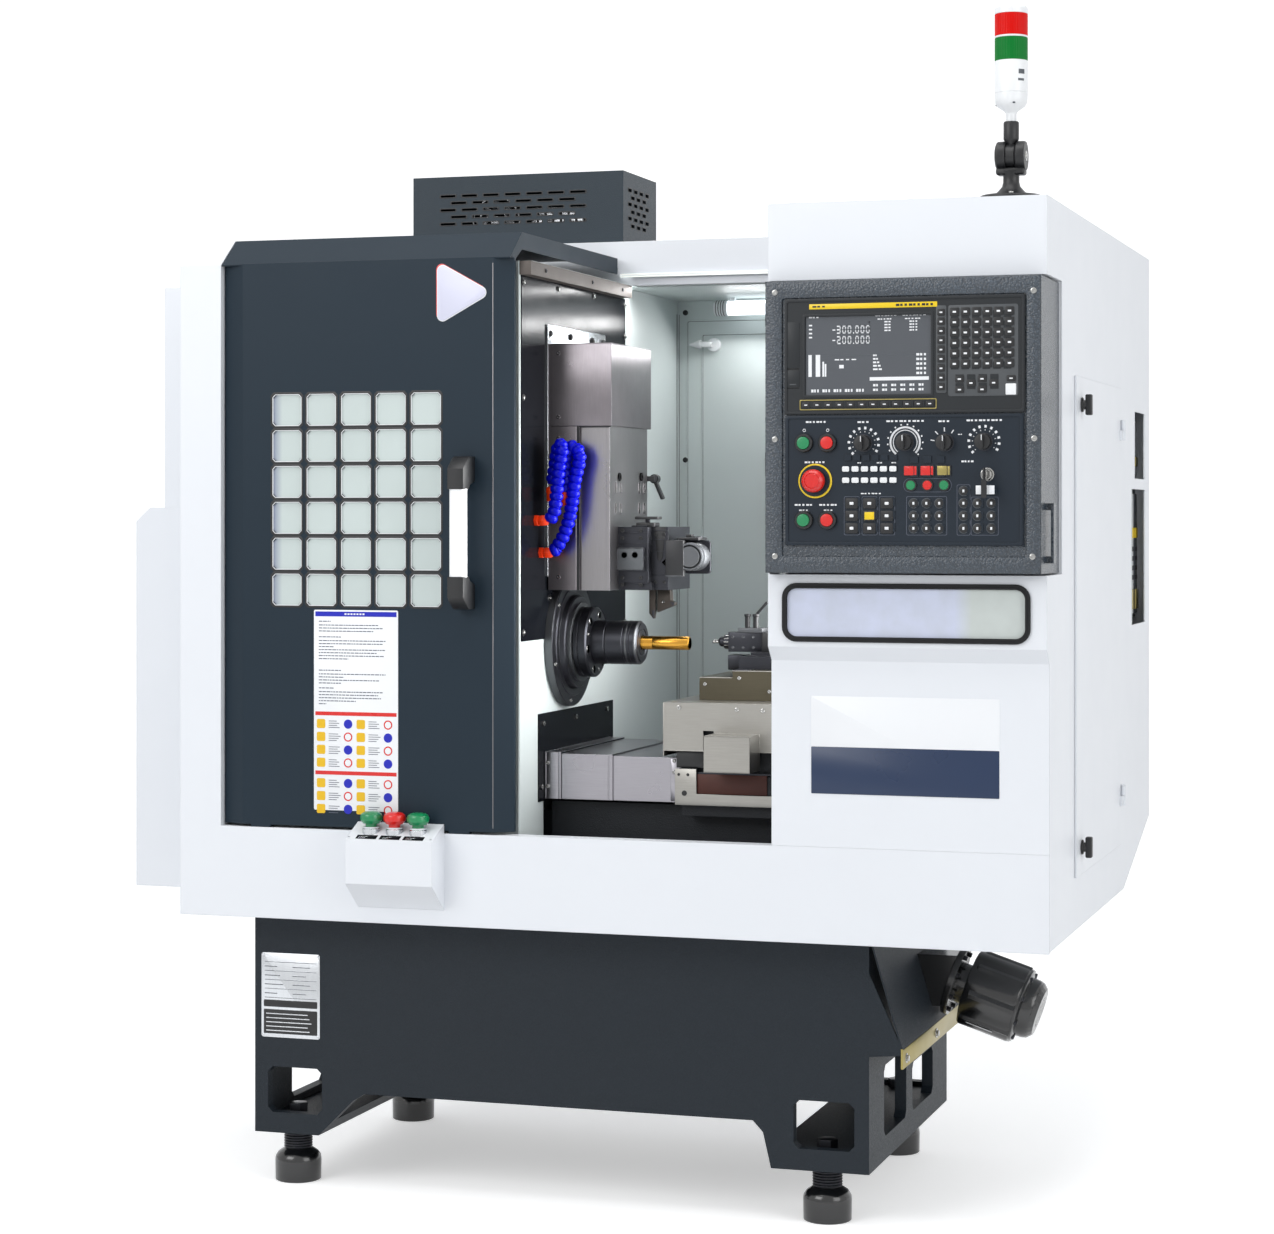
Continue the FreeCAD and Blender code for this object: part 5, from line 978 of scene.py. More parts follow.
def spindle_nose():
    """Flange steps on the headstock, the grooved spindle ring, chuck and brass bar, with black
    discs in the holes as painted shade and bright rims and bands as painted highlights.
    """
    steps = Shape(DARK_STEEL)
    face = WALL + 16
    steps.turned("x", SPINDLE, [(-0.5, 104), (1.5, 104), (3, 102.5), (3, 90), (12, 88), (14, 86),
                                (14, 76)], 72, face)
    steps.turned("x", SPINDLE, [(0, 122), (1.2, 121), (1.2, 104)], 72, face)
    steps.tint(GROUND).screws("x", around(6, 113, 20), face + 0.8, 1, 4.2, 3.2)
    steps.piece("headstock_nose_steps", "frame", "cast_iron")
    low, _ = corners("spindle_shaft")
    ring = Shape(GROUND)
    ring.turned("x", SPINDLE, [(low.x, 0), (low.x, 43), (low.x + 3, 45), (-49, 45)], 56)
    ring.tint(DARK_STEEL).turned("x", SPINDLE, [
        (-48, 45), (-48, 66), (-47, 67), (-40, 67), (-39.2, 65.4), (-37.8, 65.4), (-37, 67),
        (-24, 67), (-22, 65), (-21, 63.5), (-21, 41)], 72)
    # each hole of the ring: a bright rim as a painted highlight, and a black disc inside as painted
    # shade
    for spot in around(6, 54, 12):
        ring.tint(GROUND).turned("x", spot, [(-21, 8.4), (-20.5, 8.2), (-20.5, 7.4)], 24)
        ring.tint(BLACK).turned("x", spot, [(-20.5, 7.5), (-20.8, 7.2), (-20.8, 0)], 24)
    ring.tint(GROUND).screws("x", around(3, 54, 42), -21.2, 1, 3.6, 1.2)
    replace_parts(ring.piece("spindle_ring_detail", "spindle", "ground_steel"), "spindle_shaft")
    chuck = Shape(DARK_STEEL)
    chuck.turned("x", SPINDLE, [
        (-21, 34), (-21, 41.5), (4, 41.5), (5, 40.3), (7, 40.3), (8, 41.5), (40, 41.5),
        (41, 40.6), (42, 40.6)], 72)
    chuck.turned("x", SPINDLE, [(42, 40.6), (42.5, 41.3), (54, 41.3), (54.6, 40.4),
                                (55.4, 41.5), (66, 41.5), (71, 36.5), (71, 27), (69.4, 25)], 72)
    # the two lighter bands on the chuck, the second on its end chamfer, are painted highlight lines
    chuck.tint(CAST).turned("x", SPINDLE, [(46, 41.3), (46.4, 41.7), (49, 41.7), (49.4, 41.3)], 72)
    chuck.turned("x", SPINDLE, [(64, 41.3), (64.6, 41.7), (66.4, 41.4), (69, 38.6)], 72)
    chuck.tint(DARK_STEEL)
    chuck.turned("x", SPINDLE, [(69.4, 25), (70.6, 23.4), (70.6, 16), (68, 13.2)], 56)
    # three black plugs on the chuck's nose stand for its holes as painted shade
    chuck.tint(BLACK)
    for spot in around(3, 30.5, 40):
        chuck.turned("x", spot, [(70.5, 5.6), (71, 5.6), (71, 4.8), (69, 4.6), (69, 0)], 22)
    for k in range(6):
        turn = spun((0, *SPINDLE), 30 + 60 * k)
        chuck.block((45, 51), (-2.6, 2.6), (40.6, 41.45), 0.4, turn=turn)
        chuck.block((66, 70.7), (-0.6, 0.6), (14, 23), turn=turn)
    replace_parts(chuck.piece("collet_chuck_detail", "spindle", "ground_steel"), "collet_chuck")
    low, high = corners("work_bar")
    bar = Shape(BRASS)
    bar.turned("x", SPINDLE, [(low.x, 0), (low.x, 12.9), (92, 12.9), (92.6, 12.6), (93.2, 12.9),
                              (high.x - 2.5, 12.9), (high.x - 1, 12), (high.x - 0.4, 10.6)], 48)
    bar.tint(DARK_STEEL)
    bar.turned("x", SPINDLE, [(high.x - 0.4, 10.6), (high.x - 3, 9.6), (high.x - 3, 0)], 48)
    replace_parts(bar.piece("work_bar_turned", "spindle", "brass"), "work_bar")


def splash_screws():
    """Screws of the splash plates with black washers, and the stainless rail above them."""
    screws = Shape(GROUND)
    face = WALL + 2
    for spot in ((-585, 1704), (-393, 1706), (-182, 1708), (15, 1703), (15, 1640), (15, 1300),
                 (-585, 1492), (-585, 1060), (-438, 1154), (-444, 1120), (-432, 1084),
                 (15, 1060)):
        screws.tint(BLACK).turned("x", spot, [(0, 6.5), (0.6, 6.5), (0.6, 0)], 20, face)
        screws.tint(GROUND).screws("x", [spot], face + 0.4, 1, 4.2, 3)
    screws.screws("x", ((-478, 886), (-292, 887), (-100, 890), (-487, 768)), face, 1, 5, 3.4)
    screws.piece("splash_screws", "frame", "ground_steel")
    rail = Shape(RAIL_METAL)
    rail.slab("y", [(-84.6, 1716.4), (-62.4, 1716.4), (-62.4, 1741.4), (-62.8, 1741.4),
                    (-62.8, 1716.8), (-84.6, 1716.8)], -600.4, -1)
    rail.block((-85, -62.4), (-601, -600.2), (1716.4, 1741.6), 0.2)
    rail.tint(DARK_STEEL).screws("x", ((-520, 1729), (-250, 1729), (-60, 1729)), -62.5, 1, 3.6, 2.2)
    rail.piece("doorway_rail_cover", "frame", "stainless_sheet")


def back_wall():
    """Folded frames, shadow lines and plugs of the back wall, and its wash jet."""
    seams = Front(BACK_WALL, LINER)
    seams.rim((-66, 868, 560, 1698), 3, 3, 3, 1.6, bevel=0.5)
    seams.rim((-32, 838, 590, 1668), 4, 3, 3, 1.0, bevel=0.4)
    seams.tint(DARK_STEEL).rim((-63, 865, 563, 1695), 3, 0.8, 3, 0.3)
    seams.rim((-29, 835, 593, 1665), 3, 0.8, 3, 0.3)
    seams.bar((-84.2, -83.4, 830, 1710), 12, -11)
    seams.bar((-82, -81.2, 830, 1710), 0.4)
    seams.tint(BLACK)
    for x in (-68, 116, 520):
        for z in (1714, 1396):
            seams.stud((x, z), [(0, 6), (2.6, 5.6), (3.2, 4), (3.2, 0)], 20)
    seams.piece("back_wall_panel", "frame", "white_paint")
    jet = Front(BACK_WALL, WHITE_PLASTIC)
    jet.turned("x", (378, 1644), [(-54, 0), (-53, 2.4), (-32, 9.5), (-29, 9.5), (-28, 6),
                                  (-24, 6)], 28)
    jet.stud((-3, 1643), [(0, 15), (5, 15), (8, 13), (9, 8), (9, 0)])
    jet.bar((-28, -4, 1638, 1650), 22, -3, 2.5)
    jet.piece("wash_jet", "frame", "white_plastic")


def vertical_slide():
    """The light wall plate, the folded column, its hollow upper cover and the lever; black strips
    in the gaps beside the column and under the cover are painted shade.
    """
    low, high = corners("slide_shell")
    left, step, front, back = -80, -18.2, -456, -212
    cover_left, cover_low, top = -26, 1443, 1598
    sheets = Shape(ALUMINIUM)
    sheets.slab("x", rounded(low.y, high.y, 1161, high.z, 2), low.x, low.x + 3, 0.3)
    sheets.block((low.x + 2.9, low.x + 5), (back, high.y - 14), (1176, 1596), 0.3)
    sheets.tint(STAINED).block((left, step), (front, back), (low.z, cover_low - 0.6), 0.6)
    sheets.block((left, cover_left), (front, back), (cover_low - 0.8, top - 3))
    sheets.slab("z", [(left, front - 1.4), (-25, front - 1.4), (-24, front - 0.6),
                      (-24, front + 1), (left, front + 1)], low.z + 0.6, cover_low - 1)
    right, face = high.x, front - 1.5
    sheets.slab("z", [
        (left, face), (right, face), (right, back), (cover_left, back), (cover_left, back - 2.4),
        (right - 2.4, back - 2.4), (right - 2.4, face + 2.4), (left, face + 2.4)], cover_low,
                top - 1.6, 0.5)
    sheets.block((left, right), (face, back), (top - 1.7, top), 0.6)
    # painted shade: the next two black strips fill the gap beside the column and the gap under the
    # upper cover
    sheets.tint(BLACK).block((-24, step - 0.1), (front - 0.8, front + 1), (low.z + 0.6, cover_low))
    sheets.block((-24, right - 2.6), (face + 2.2, -451.4), (cover_low - 2.6, cover_low + 3))
    for y, z in ((-458, 1622), (-459, 1598), (-459, 1464), (-459, 1300)):
        sheets.turned("x", (y, z), [(3, 1.2), (3.4, 1), (3.4, 0)], 12, low.x)
    for y in (-446, -330, -200, -134):
        sheets.turned("x", (y, 1618), [(3, 6.4), (6, 6.4), (6.6, 5.4), (6.6, 3), (5, 2.8),
                                       (5, 0)], 22, low.x)
    sheets.screws("x", ((-134, 1220), (-134, 1400), (-134, 1560)), low.x + 3, 1, 5, 3.4)
    sheets.screws("y", ((-60, 1580), (-60, 1460), (-60, 1420), (-60, 1160)), front, -1, 3.6, 2.4)
    sheets.block((-40, 52), (back - 0.2, back + 5), (1342, 1352), 1)
    sheets.block((42, 52), (back + 4, -184), (1341, 1353), 2)
    sheets.turned("y", (47, 1347), [(-200, 0), (-200, 9), (-184, 9), (-182, 6), (-182, 0)], 20)
    sheets.block((-3.5, 3.5), (-6, 6), (-40, 2), 1.5, turn=spun((47, -192, 1344), -24, "Y"))
    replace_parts(sheets.piece("vertical_slide_sheets", "frame", "stainless_sheet"), "slide_shell")


def slide_cover_trim():
    """Clamp holes, slots with flat black fills as painted shade, and the folded front edge of the
    moving slide cover.
    """
    low, high = corners("slide_cover")
    cover = Shape(MATT_BLACK)
    face, front = high.x, low.y
    for spot in ((-393, 1348), (-258, 1350)):
        cover.turned("x", spot, [(0, 8), (2.2, 8), (2.8, 7), (2.8, 3), (1, 2.8), (1, 0)], 20, face)
    for y in (-413, -383, -269, -238):
        for z in (1328, 1289):
            hole = rounded(*centred(y, z, 9.2, 21.2), 4.5, 6)
            cover.tint(STAINLESS).frame("x", rounded(*centred(y, z, 11.2, 23), 5.5, 6), hole,
                                        face - 0.2, face + 0.35, 0.1)
            # the flat black fill of each slot is painted shade
            cover.tint(MATT_BLACK).slab("x", hole, face - 0.2, face + 0.15)
    cover.tint(STAINLESS)
    cover.slab("z", [(face - 6, front - 0.5), (face + 0.4, front - 0.5),
                     (face + 0.4, front + 6), (face, front + 6), (face, front - 0.1),
                     (face - 6, front - 0.1)], 1137, 1440)
    cover.piece("slide_cover_trim", "tool_slide", "stainless_sheet")


def tool_station():
    """Plates, clamps, bolts and the round motor of the tool block, and its cutting tools."""
    block = Shape(DARK_STEEL)
    block.tint(CAST).slab("y", rounded(39.5, 91.5, 1172.5, 1214.5, 2), -408, -407, 0.4)
    block.tint(GREY_PLATE).slab("y", rounded(41, 90, 1174, 1213, 1.5), -408.2, -407, 0.2)
    # two thin black discs on the plate stand for its holes, as painted shade
    block.tint(BLACK)
    for x in (54, 75):
        block.turned("y", (x, 1201), [(-408, 5.8), (-408.2, 5.8), (-408.2, 0)], 24)
    block.screws("y", [(x, z) for z in (1247, 1233, 1158, 1145) for x in (48, 84)],
                 -400, -1, 3.8, 2.2)
    block.tint(DARK_STEEL)
    for z in (1148, 1173, 1198, 1223, 1243):
        block.block((39.6, 98.4), (-401.6, -400), (z - 0.7, z + 0.7), 0.3)
    block.block((96.5, 99.2), (-401.5, -242), (1150, 1253), 0.8)
    block.block((62, 92), (-390, -330), (1254, 1256.5), 0.8)
    block.tint(BLACK).block((70, 106), (-386, -350), (1253.5, 1262), 1.5)
    block.tint(DARK_STEEL).block((84, 92), (-372, -364), (1262, 1270), 1)
    block.tint(BLACK).block((66, 112), (-382, -354), (1268, 1273.5), 1.6)
    block.tint(DARK_STEEL)
    for z in (1142, 1163, 1208, 1230, 1247):
        block.block((99, 132), (-381.8, -380), (z - 0.7, z + 0.7), 0.3)
    block.tint(BLACK).screws("y", ((107, 1150), (124, 1150), (107, 1240), (124, 1240)),
                             -380, -1, 3.4, 2.2)
    block.slab("y", [(104, 1254), (127, 1254), (121, 1196), (115.5, 1188), (110, 1196)],
               -380.7, -379.5, 0.2)
    block.tint(CAST).turned("y", (180, 1198), [
        (0, 0), (0, 19), (0.8, 19.6), (0.8, 22), (0.1, 22.6), (0.1, 24.6), (1.6, 26.7),
        (14, 26.7), (15, 26.1), (16, 26.7), (46.8, 26.7), (50.8, 26.3)], 56, -402.8)
    block.tint(DARK_STEEL).block((133, 157.4), (-392, -298), (1164.6, 1229.4), 1.5)
    block.tint(BLACK).block((133.5, 169), (-404, -391.5), (1160.5, 1229), 1.6)
    block.tint(CAST).block((134, 168), (-404.5, -403.8), (1161, 1163), 0.2)
    block.tint(DARK_STEEL).frame("y", rounded(157, 206, 1165.5, 1228.5, 6),
                                 rounded(159, 204, 1169, 1226, 10), -351.5, -343, 1)
    block.tint(BLACK).block((148, 191), (-378, -322), (1228.5, 1234.5), 1.4)
    block.block((160, 172), (-360, -344), (1234, 1240), 1)
    block.tint(CAST).block((172, 189), (-352, -344), (1234, 1236.5), 0.6)
    block.piece("tool_block_fittings", "tool_slide", "black_steel")
    tools = Front(SPINDLE[0], CARBIDE)
    tip = (94, 1080)
    tools.sheet([(86, 1135), (98, 1135), (98, 1096), (95, 1091), tip, (86, 1090)], 7.9, 7.9, 0.6)
    tools.tint(DARK_STEEL).sheet([(91, 1096), (97.4, 1096), tip], 8.1, -6.5, 0.15)
    tools.tint(CARBIDE).sheet([(102, 1135), (128, 1135), (128, 1114), (137, 1111), (137, 1106),
                               (102, 1092)], 7.9, 7.9, 0.6)
    tools.tint(DARK_STEEL).sheet([(127, 1112.4), (137, 1110.6), (133, 1104)], 8.1, -6.8, 0.15)
    tools.tint(GROUND).screws("y", [(114, 1112)], SPINDLE[0] - 7.9, -1, 3, 0.1)
    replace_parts(tools.piece("turning_tools_ground", "tool_slide", "carbide"), "turning_tools")


HOSE_ROUTES = [
    [(-63, -520, 1266), (-54, -520, 1267), (-46, -519, 1282), (-43, -518, 1304), (-41, -517, 1330),
     (-39, -516, 1354), (-36, -515, 1376), (-33, -513, 1396), (-38, -507, 1407), (-47, -502, 1396),
     (-51, -500, 1372), (-55, -500, 1344), (-60, -500, 1318)],
    [(-66, -494, 1206), (-53, -493, 1212), (-40, -492, 1232), (-32, -491, 1252),
     (-26, -490, 1272), (-23, -489, 1292), (-20, -488, 1313), (-18, -487, 1334), (-14, -486, 1354),
     (-9, -486, 1372), (-8, -485, 1388), (-15, -484, 1402), (-27, -483, 1404), (-35, -482, 1388),
     (-36, -482, 1366), (-36, -483, 1344), (-38, -484, 1324), (-38, -486, 1310)],
]
LINK_LENGTH = 14.0
HOSE_LINK = [(-9.4, 7.4), (-7.6, 10.4), (-4.8, 12.4), (-1.0, 13.2), (2.6, 12.6), (5.0, 10.6),
             (5.4, 9.6), (8.4, 9.6), (9.2, 8.6)]
WALL_FITTING = [(2, 9), (2, 11), (8, 11), (9, 9.4), (13, 9.4), (14, 11), (21, 11), (25, 9.6),
                (27, 7.4), (27, 0)]
HOSE_COLLAR = [(-9, 8.6), (-6, 10.4), (2, 10.4), (4, 8.4)]
NOZZLE = [(-10, 7.2), (-7, 9.3), (0, 9.3), (3, 7.6), (16, 4.6), (17, 4.2), (17, 2.6), (9, 2.4),
          (9, 0)]


def spaced(route, gap):
    """Points at an even spacing along a route, with their directions."""
    made, step = [], 0.0
    for one, two in zip(route, route[1:]):
        way = two - one
        while step < way.length:
            made.append((one + way * (step / way.length), way.normalized()))
            step += gap
        step -= way.length
    return made


def coolant_hoses():
    """Ball-jointed links with collars along each hose, orange fittings and nozzles."""
    hoses = Shape(HOSE_BLUE)
    for route in ([Vector(point) for point in route] for route in HOSE_ROUTES):
        points = spaced(route, LINK_LENGTH)
        hoses.tint(HOSE_BLUE)
        for point in points[1:-1]:
            hoses.turned("z", (0, 0), HOSE_LINK, 22, turn=aimed(*point))
        hoses.tint(ORANGE).turned("x", route[0].yz, WALL_FITTING, 6, WALL)
        hoses.turned("z", (0, 0), HOSE_COLLAR, 8, turn=aimed(*points[1]))
        hoses.turned("z", (0, 0), NOZZLE, 24, turn=aimed(route[-1], route[-1] - route[-2]))
    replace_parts(hoses.piece("coolant_hose_links", "frame", "blue_plastic", 50), "coolant_hoses")


# ---------------------------------------------------------------- carriage and covers

def hood_outline(y0, y1, foot, top, grow):
    """A thin sheet over the front, top and back of a hood."""
    return [(y0 - grow, foot), (y0 - grow, top + grow), (y1 + grow, top + grow),
            (y1 + grow, foot), (y1, foot), (y1, top), (y0, top), (y0, foot)]


def cover_seams():
    """Folded end lips of the telescopic hoods, and the thin skin of the fixed hood."""
    for name, body in (("way_cover_middle", "middle_hood"), ("way_cover_inner", "carriage")):
        low, high = corners(name)
        lip = Front(low.y, HOOD)
        if name == "way_cover_middle":
            lip.slab("x", hood_outline(low.y, high.y, low.z, high.z, 1.0), high.x - 7, high.x,
                     0.25)
        lip.sheet([(high.x - 9.5, low.z + 2), (high.x - 8.7, low.z + 2),
                   (high.x - 8.7, high.z - 2), (high.x - 9.5, high.z - 2)], 0.3)
        if name == "way_cover_inner":
            lip.plate((high.x - 26, high.x - 12, low.z + 2, high.z - 2), 1, 0.7, bevel=0.3)
            lip.tint(GROUND).screws("y", ((high.x - 19, 801), (high.x - 19, 822)), low.y - 0.7, -1,
                                    3.4, 2.2)
        lip.piece(name + "_lips", body, "stainless_sheet")
    fixed = Shape(HOOD)
    front = -470
    for x0, x1, grow, bevel in ((WALL + 0.1, -50.3, 0.5, 0.15), (-55, -50.2, 1.2, 0.25),
                                (-82, -79.5, 1.2, 0.25)):
        fixed.slab("x", hood_outline(front, -88, 745, 832, grow), x0, x1, bevel)
    fixed.tint(GROUND).screws("y", ((-76, 768), (-76, 812)), front - 0.5, -1, 3.6, 2.4)
    fixed.piece("fixed_hood_skin", "frame", "stainless_sheet")


def carriage_trim():
    """Bracket face, rust-brown wiper strip, motor box lid, screws and dark clamp blocks."""
    trim = Shape(WARM_HOOD)
    trim.slab("y", [(181.5, 744), (558, 744), (558, 764.5), (222.5, 764.5), (222.5, 810.5),
                    (181.5, 810.5)], -499.4, -497.6, 0.4)
    trim.tint(RUST).block((223, 356), (-496.4, -493.6), (765, 801.5), 0.8)
    trim.tint(DARK_STEEL).block((223, 558), (-495, -493.8), (801.5, 805), 0.4)
    trim.tint(BLACK)
    for x, z, r in ((199.7, 766, 5), (206.5, 800, 2.8), (189, 800, 2.6)):
        trim.turned("y", (x, z), [(-499.4, r), (-499.7, r), (-499.7, 0)], 22)
    trim.tint(GROUND)
    trim.screws("y", ((190, 923), (300, 921), (349, 920), (480, 920)), -500, -1, 4.2, 2.6)
    trim.tint(WARM_HOOD)
    for z in (811.6, 875.6):
        trim.block((256.5, 341.5), (-565.0, -564.2), (z, z + 1), 0.2)
    trim.frame("y", rounded(256.4, 341.6, 811.4, 876.6, 1.5),
               rounded(257.6, 340.4, 812.6, 875.4, 1.2), -564.9, -563.8, 0.3)
    trim.block((159.5, 599.5), (-500.8, -499.8), (843, 845), 0.4)
    trim.block((158.9, 160.6), (-500.8, -499), (843, 931.5), 0.3)
    trim.block((159.5, 599.5), (-500.6, -499), (930.8, 932.0), 0.4)
    trim.tint(BLACK).block((182, 236), (-492, -481), (812, 842), 1.5)
    trim.piece("carriage_trim", "carriage", "stainless_sheet")
    low, high = corners("cross_slide")
    cross = Front(low.y, WARM_HOOD)
    cross.bar((low.x - 0.1, low.x + 63, 973.4, 975), 0.8, 0.1, 0.3)
    cross.bar((low.x + 64, high.x, 986.4, 988), 0.8, 0.1, 0.3)
    cross.tint(GROUND).screws("y", ((216, 962), (282, 974), (340, 950)), low.y, -1, 3.6, 2.4)
    cross.tint(DARK_STEEL).block((270, 300), (low.y - 0.4, -380), (987.6, 989.2), 0.5)
    cross.piece("cross_slide_trim", "cross", "stainless_sheet")


def drilling_unit():
    """Stepped holder, collet nut and round motor bodies on the drilling unit."""
    unit = Shape(DARK_STEEL)
    unit.block((234, 300), (-322.6, -277.6), (1019, 1054.5), 1.2)
    unit.tint(CAST).screws("y", [(x, z) for x in (242, 262, 282) for z in (1046, 1026)],
                           -322.6, -1, 2.6, 1.6)
    unit.tint(BLACK).block((300, 430), (-330, -270), (1016, 1055), 3)
    unit.turned("x", (-300, 1040), [(430, 27), (434, 28), (466, 28), (470, 25), (470, 0)], 32)
    unit.tint(CAST).block((252, 300), (-324, -276), (1054.4, 1063), 0.8)
    unit.tint(BLACK)
    for x in (268, 284):
        unit.turned("z", (x, -312), [(1062, 5), (1084, 5), (1085, 6.4), (1089, 6.4), (1090, 0)],
                    20)
    unit.turned("z", (0, 0), [(-4, 0), (-4, 2.6), (34, 2.6), (35, 0)], 14,
                turn=spun((281, -304, 1086), 42, "Y"))
    unit.tint(DARK_STEEL).block((233, 262), (-326, -274), (984, 1012), 1.2)
    unit.piece("drilling_unit_body", "cross", "black_steel")
    low, high = corners("drill")
    axis = (-300, 1036)
    bit = Shape(GROUND)
    bit.turned("x", axis, [(0, 0), (2.2, 3.4), (16, 3.4)], 20, low.x)
    bit.tint(DARK_STEEL)
    turns, steps = 2.2, 22
    for share in (k / steps for k in range(steps)):
        bit.block((-0.7, 0.7), (-3.5, -2.6), (-0.9, 0.9), 0.2,
                  turn=spun((low.x + 2.4 + 13.4 * share, *axis), 360 * turns * share))
    bit.turned("x", axis, [(210, 4), (210, 7.6), (213, 9.6), (220, 9.6)], 30)
    bit.turned("x", axis, [(220, 9.6), (220, 13), (221, 13.8), (232, 13.8), (232.6, 12.4),
                           (high.x, 12.4), (high.x, 0)], 30)
    bit.tint(GROUND)
    for k in range(12):
        bit.block((-4.6, 4.6), (-0.9, 0.9), (13.3, 13.95), 0.2, turn=spun((226, *axis), 30 * k))
    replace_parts(bit.piece("drill_bit_fluted", "drill_spindle", "ground_steel"), "drill")


# ---------------------------------------------------------------- beam, lamp and roof

def chamber_lights():
    """The lit strip along the beam, and the tubular work lamp with its end caps."""
    strip = Shape(STRIP)
    for z in (1758.6, 1762.8):
        strip.block((-85, 401), (-8.6, -7.8), (z, z + 2.6), 0.3)
    strip.tint(WHITE).block((-88, -84.5), (-9, 0), (1757.4, 1766.6), 0.4)
    strip.piece("beam_light_strip", "frame", "lamp_glass")
    low, high = corners("work_light")
    y, z = axis = (330, 1717)
    lamp_tube = Shape(LAMP)
    lamp_tube.turned("x", axis, [(low.x + 30, 15.6), (high.x - 28, 15.6)], 40)
    for start, end in ((low.x, low.x + 30), (high.x - 28, high.x)):
        lamp_tube.tint(WHITE_PLASTIC)
        lamp_tube.turned("x", axis, [(start, 0), (start, 15), (start + 1.2, 16.6),
                                     (end - 1.2, 16.6), (end, 15), (end, 0)], 40)
        lamp_tube.tint(BLACK)
        for k in range(4):
            lamp_tube.turned("x", axis, [(0, 16.5), (0, 16.9), (1.4, 16.9), (1.4, 16.5)], 40,
                             start + 5 + 5.4 * k)
    lamp_tube.tint(WHITE_PLASTIC)
    for x in (low.x + 34, high.x - 46):
        lamp_tube.block((x, x + 12), (y - 7, y + 7), (z + 8, 1739), 1)
    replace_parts(lamp_tube.piece("work_lamp_tube", "frame", "lamp_glass"), "work_light")


def vent_box():
    """A pale fan and its guard behind the slots of the roof box, and the slots' rims."""
    low, high = corners("roof_vent_box")
    fan = Shape(ALUMINIUM)
    x, z = middle = ((low.x + high.x) / 2 - 60, 1893)
    face = low.y + 40
    for radius in (22, 36, 50):
        fan.turned("y", middle, [(0, radius), (2, radius), (2, radius + 2.4), (0, radius + 2.4)],
                   40, face, -1)
    for k in range(8):
        fan.block((-9, 9), (-1, 1), (10, 48), 0.6,
                  turn=spun((x, face + 14, z), 45 * k, "Y") @ spun((0, 0, 0), 28))
    fan.turned("y", middle, [(-30, 12), (3, 12), (3, 0)], 24, face, -1)
    fan.block((low.x + 250, high.x - 40), (face, face + 60), (1843, 1921), 4)
    fan.tint(BLACK)
    for k in range(9):
        x = low.x + 262 + 17 * k
        fan.block((x, x + 5), (face - 0.8, face + 0.4), (1850, 1914), 0.3)
    fan.piece("vent_box_fan", "frame", "aluminium")
    rims = Shape(BLACK)

    def slots(axis, rows, count, start, pitch, drop, size, lip, radius, depths):
        """Rims of rows of slots, every other row moved by half a pitch and one slot shorter."""
        for row in range(rows):
            v = high.z - drop - 14.6 * row
            for i in range(count - row % 2):
                u = start + pitch * (i + 0.5 * (row % 2))
                rims.frame(axis, rounded(u - lip[0], u + size[0] + lip[0], v - lip[1],
                                         v + size[1] + lip[1], radius),
                           rounded(u, u + size[0], v, v + size[1], 1), *depths, 0.1)
    slots("y", 5, 7, low.x + 62, 48, 43, (33, 4.5), (2.6, 1.8), 2.6, (low.y - 0.3, low.y + 0.6))
    slots("x", 6, 4, 104, 39, 40, (22, 7), (3, 2), 3, (high.x - 0.6, high.x + 0.3))
    rims.piece("vent_box_slot_rims", "frame", "dark_texture_paint")


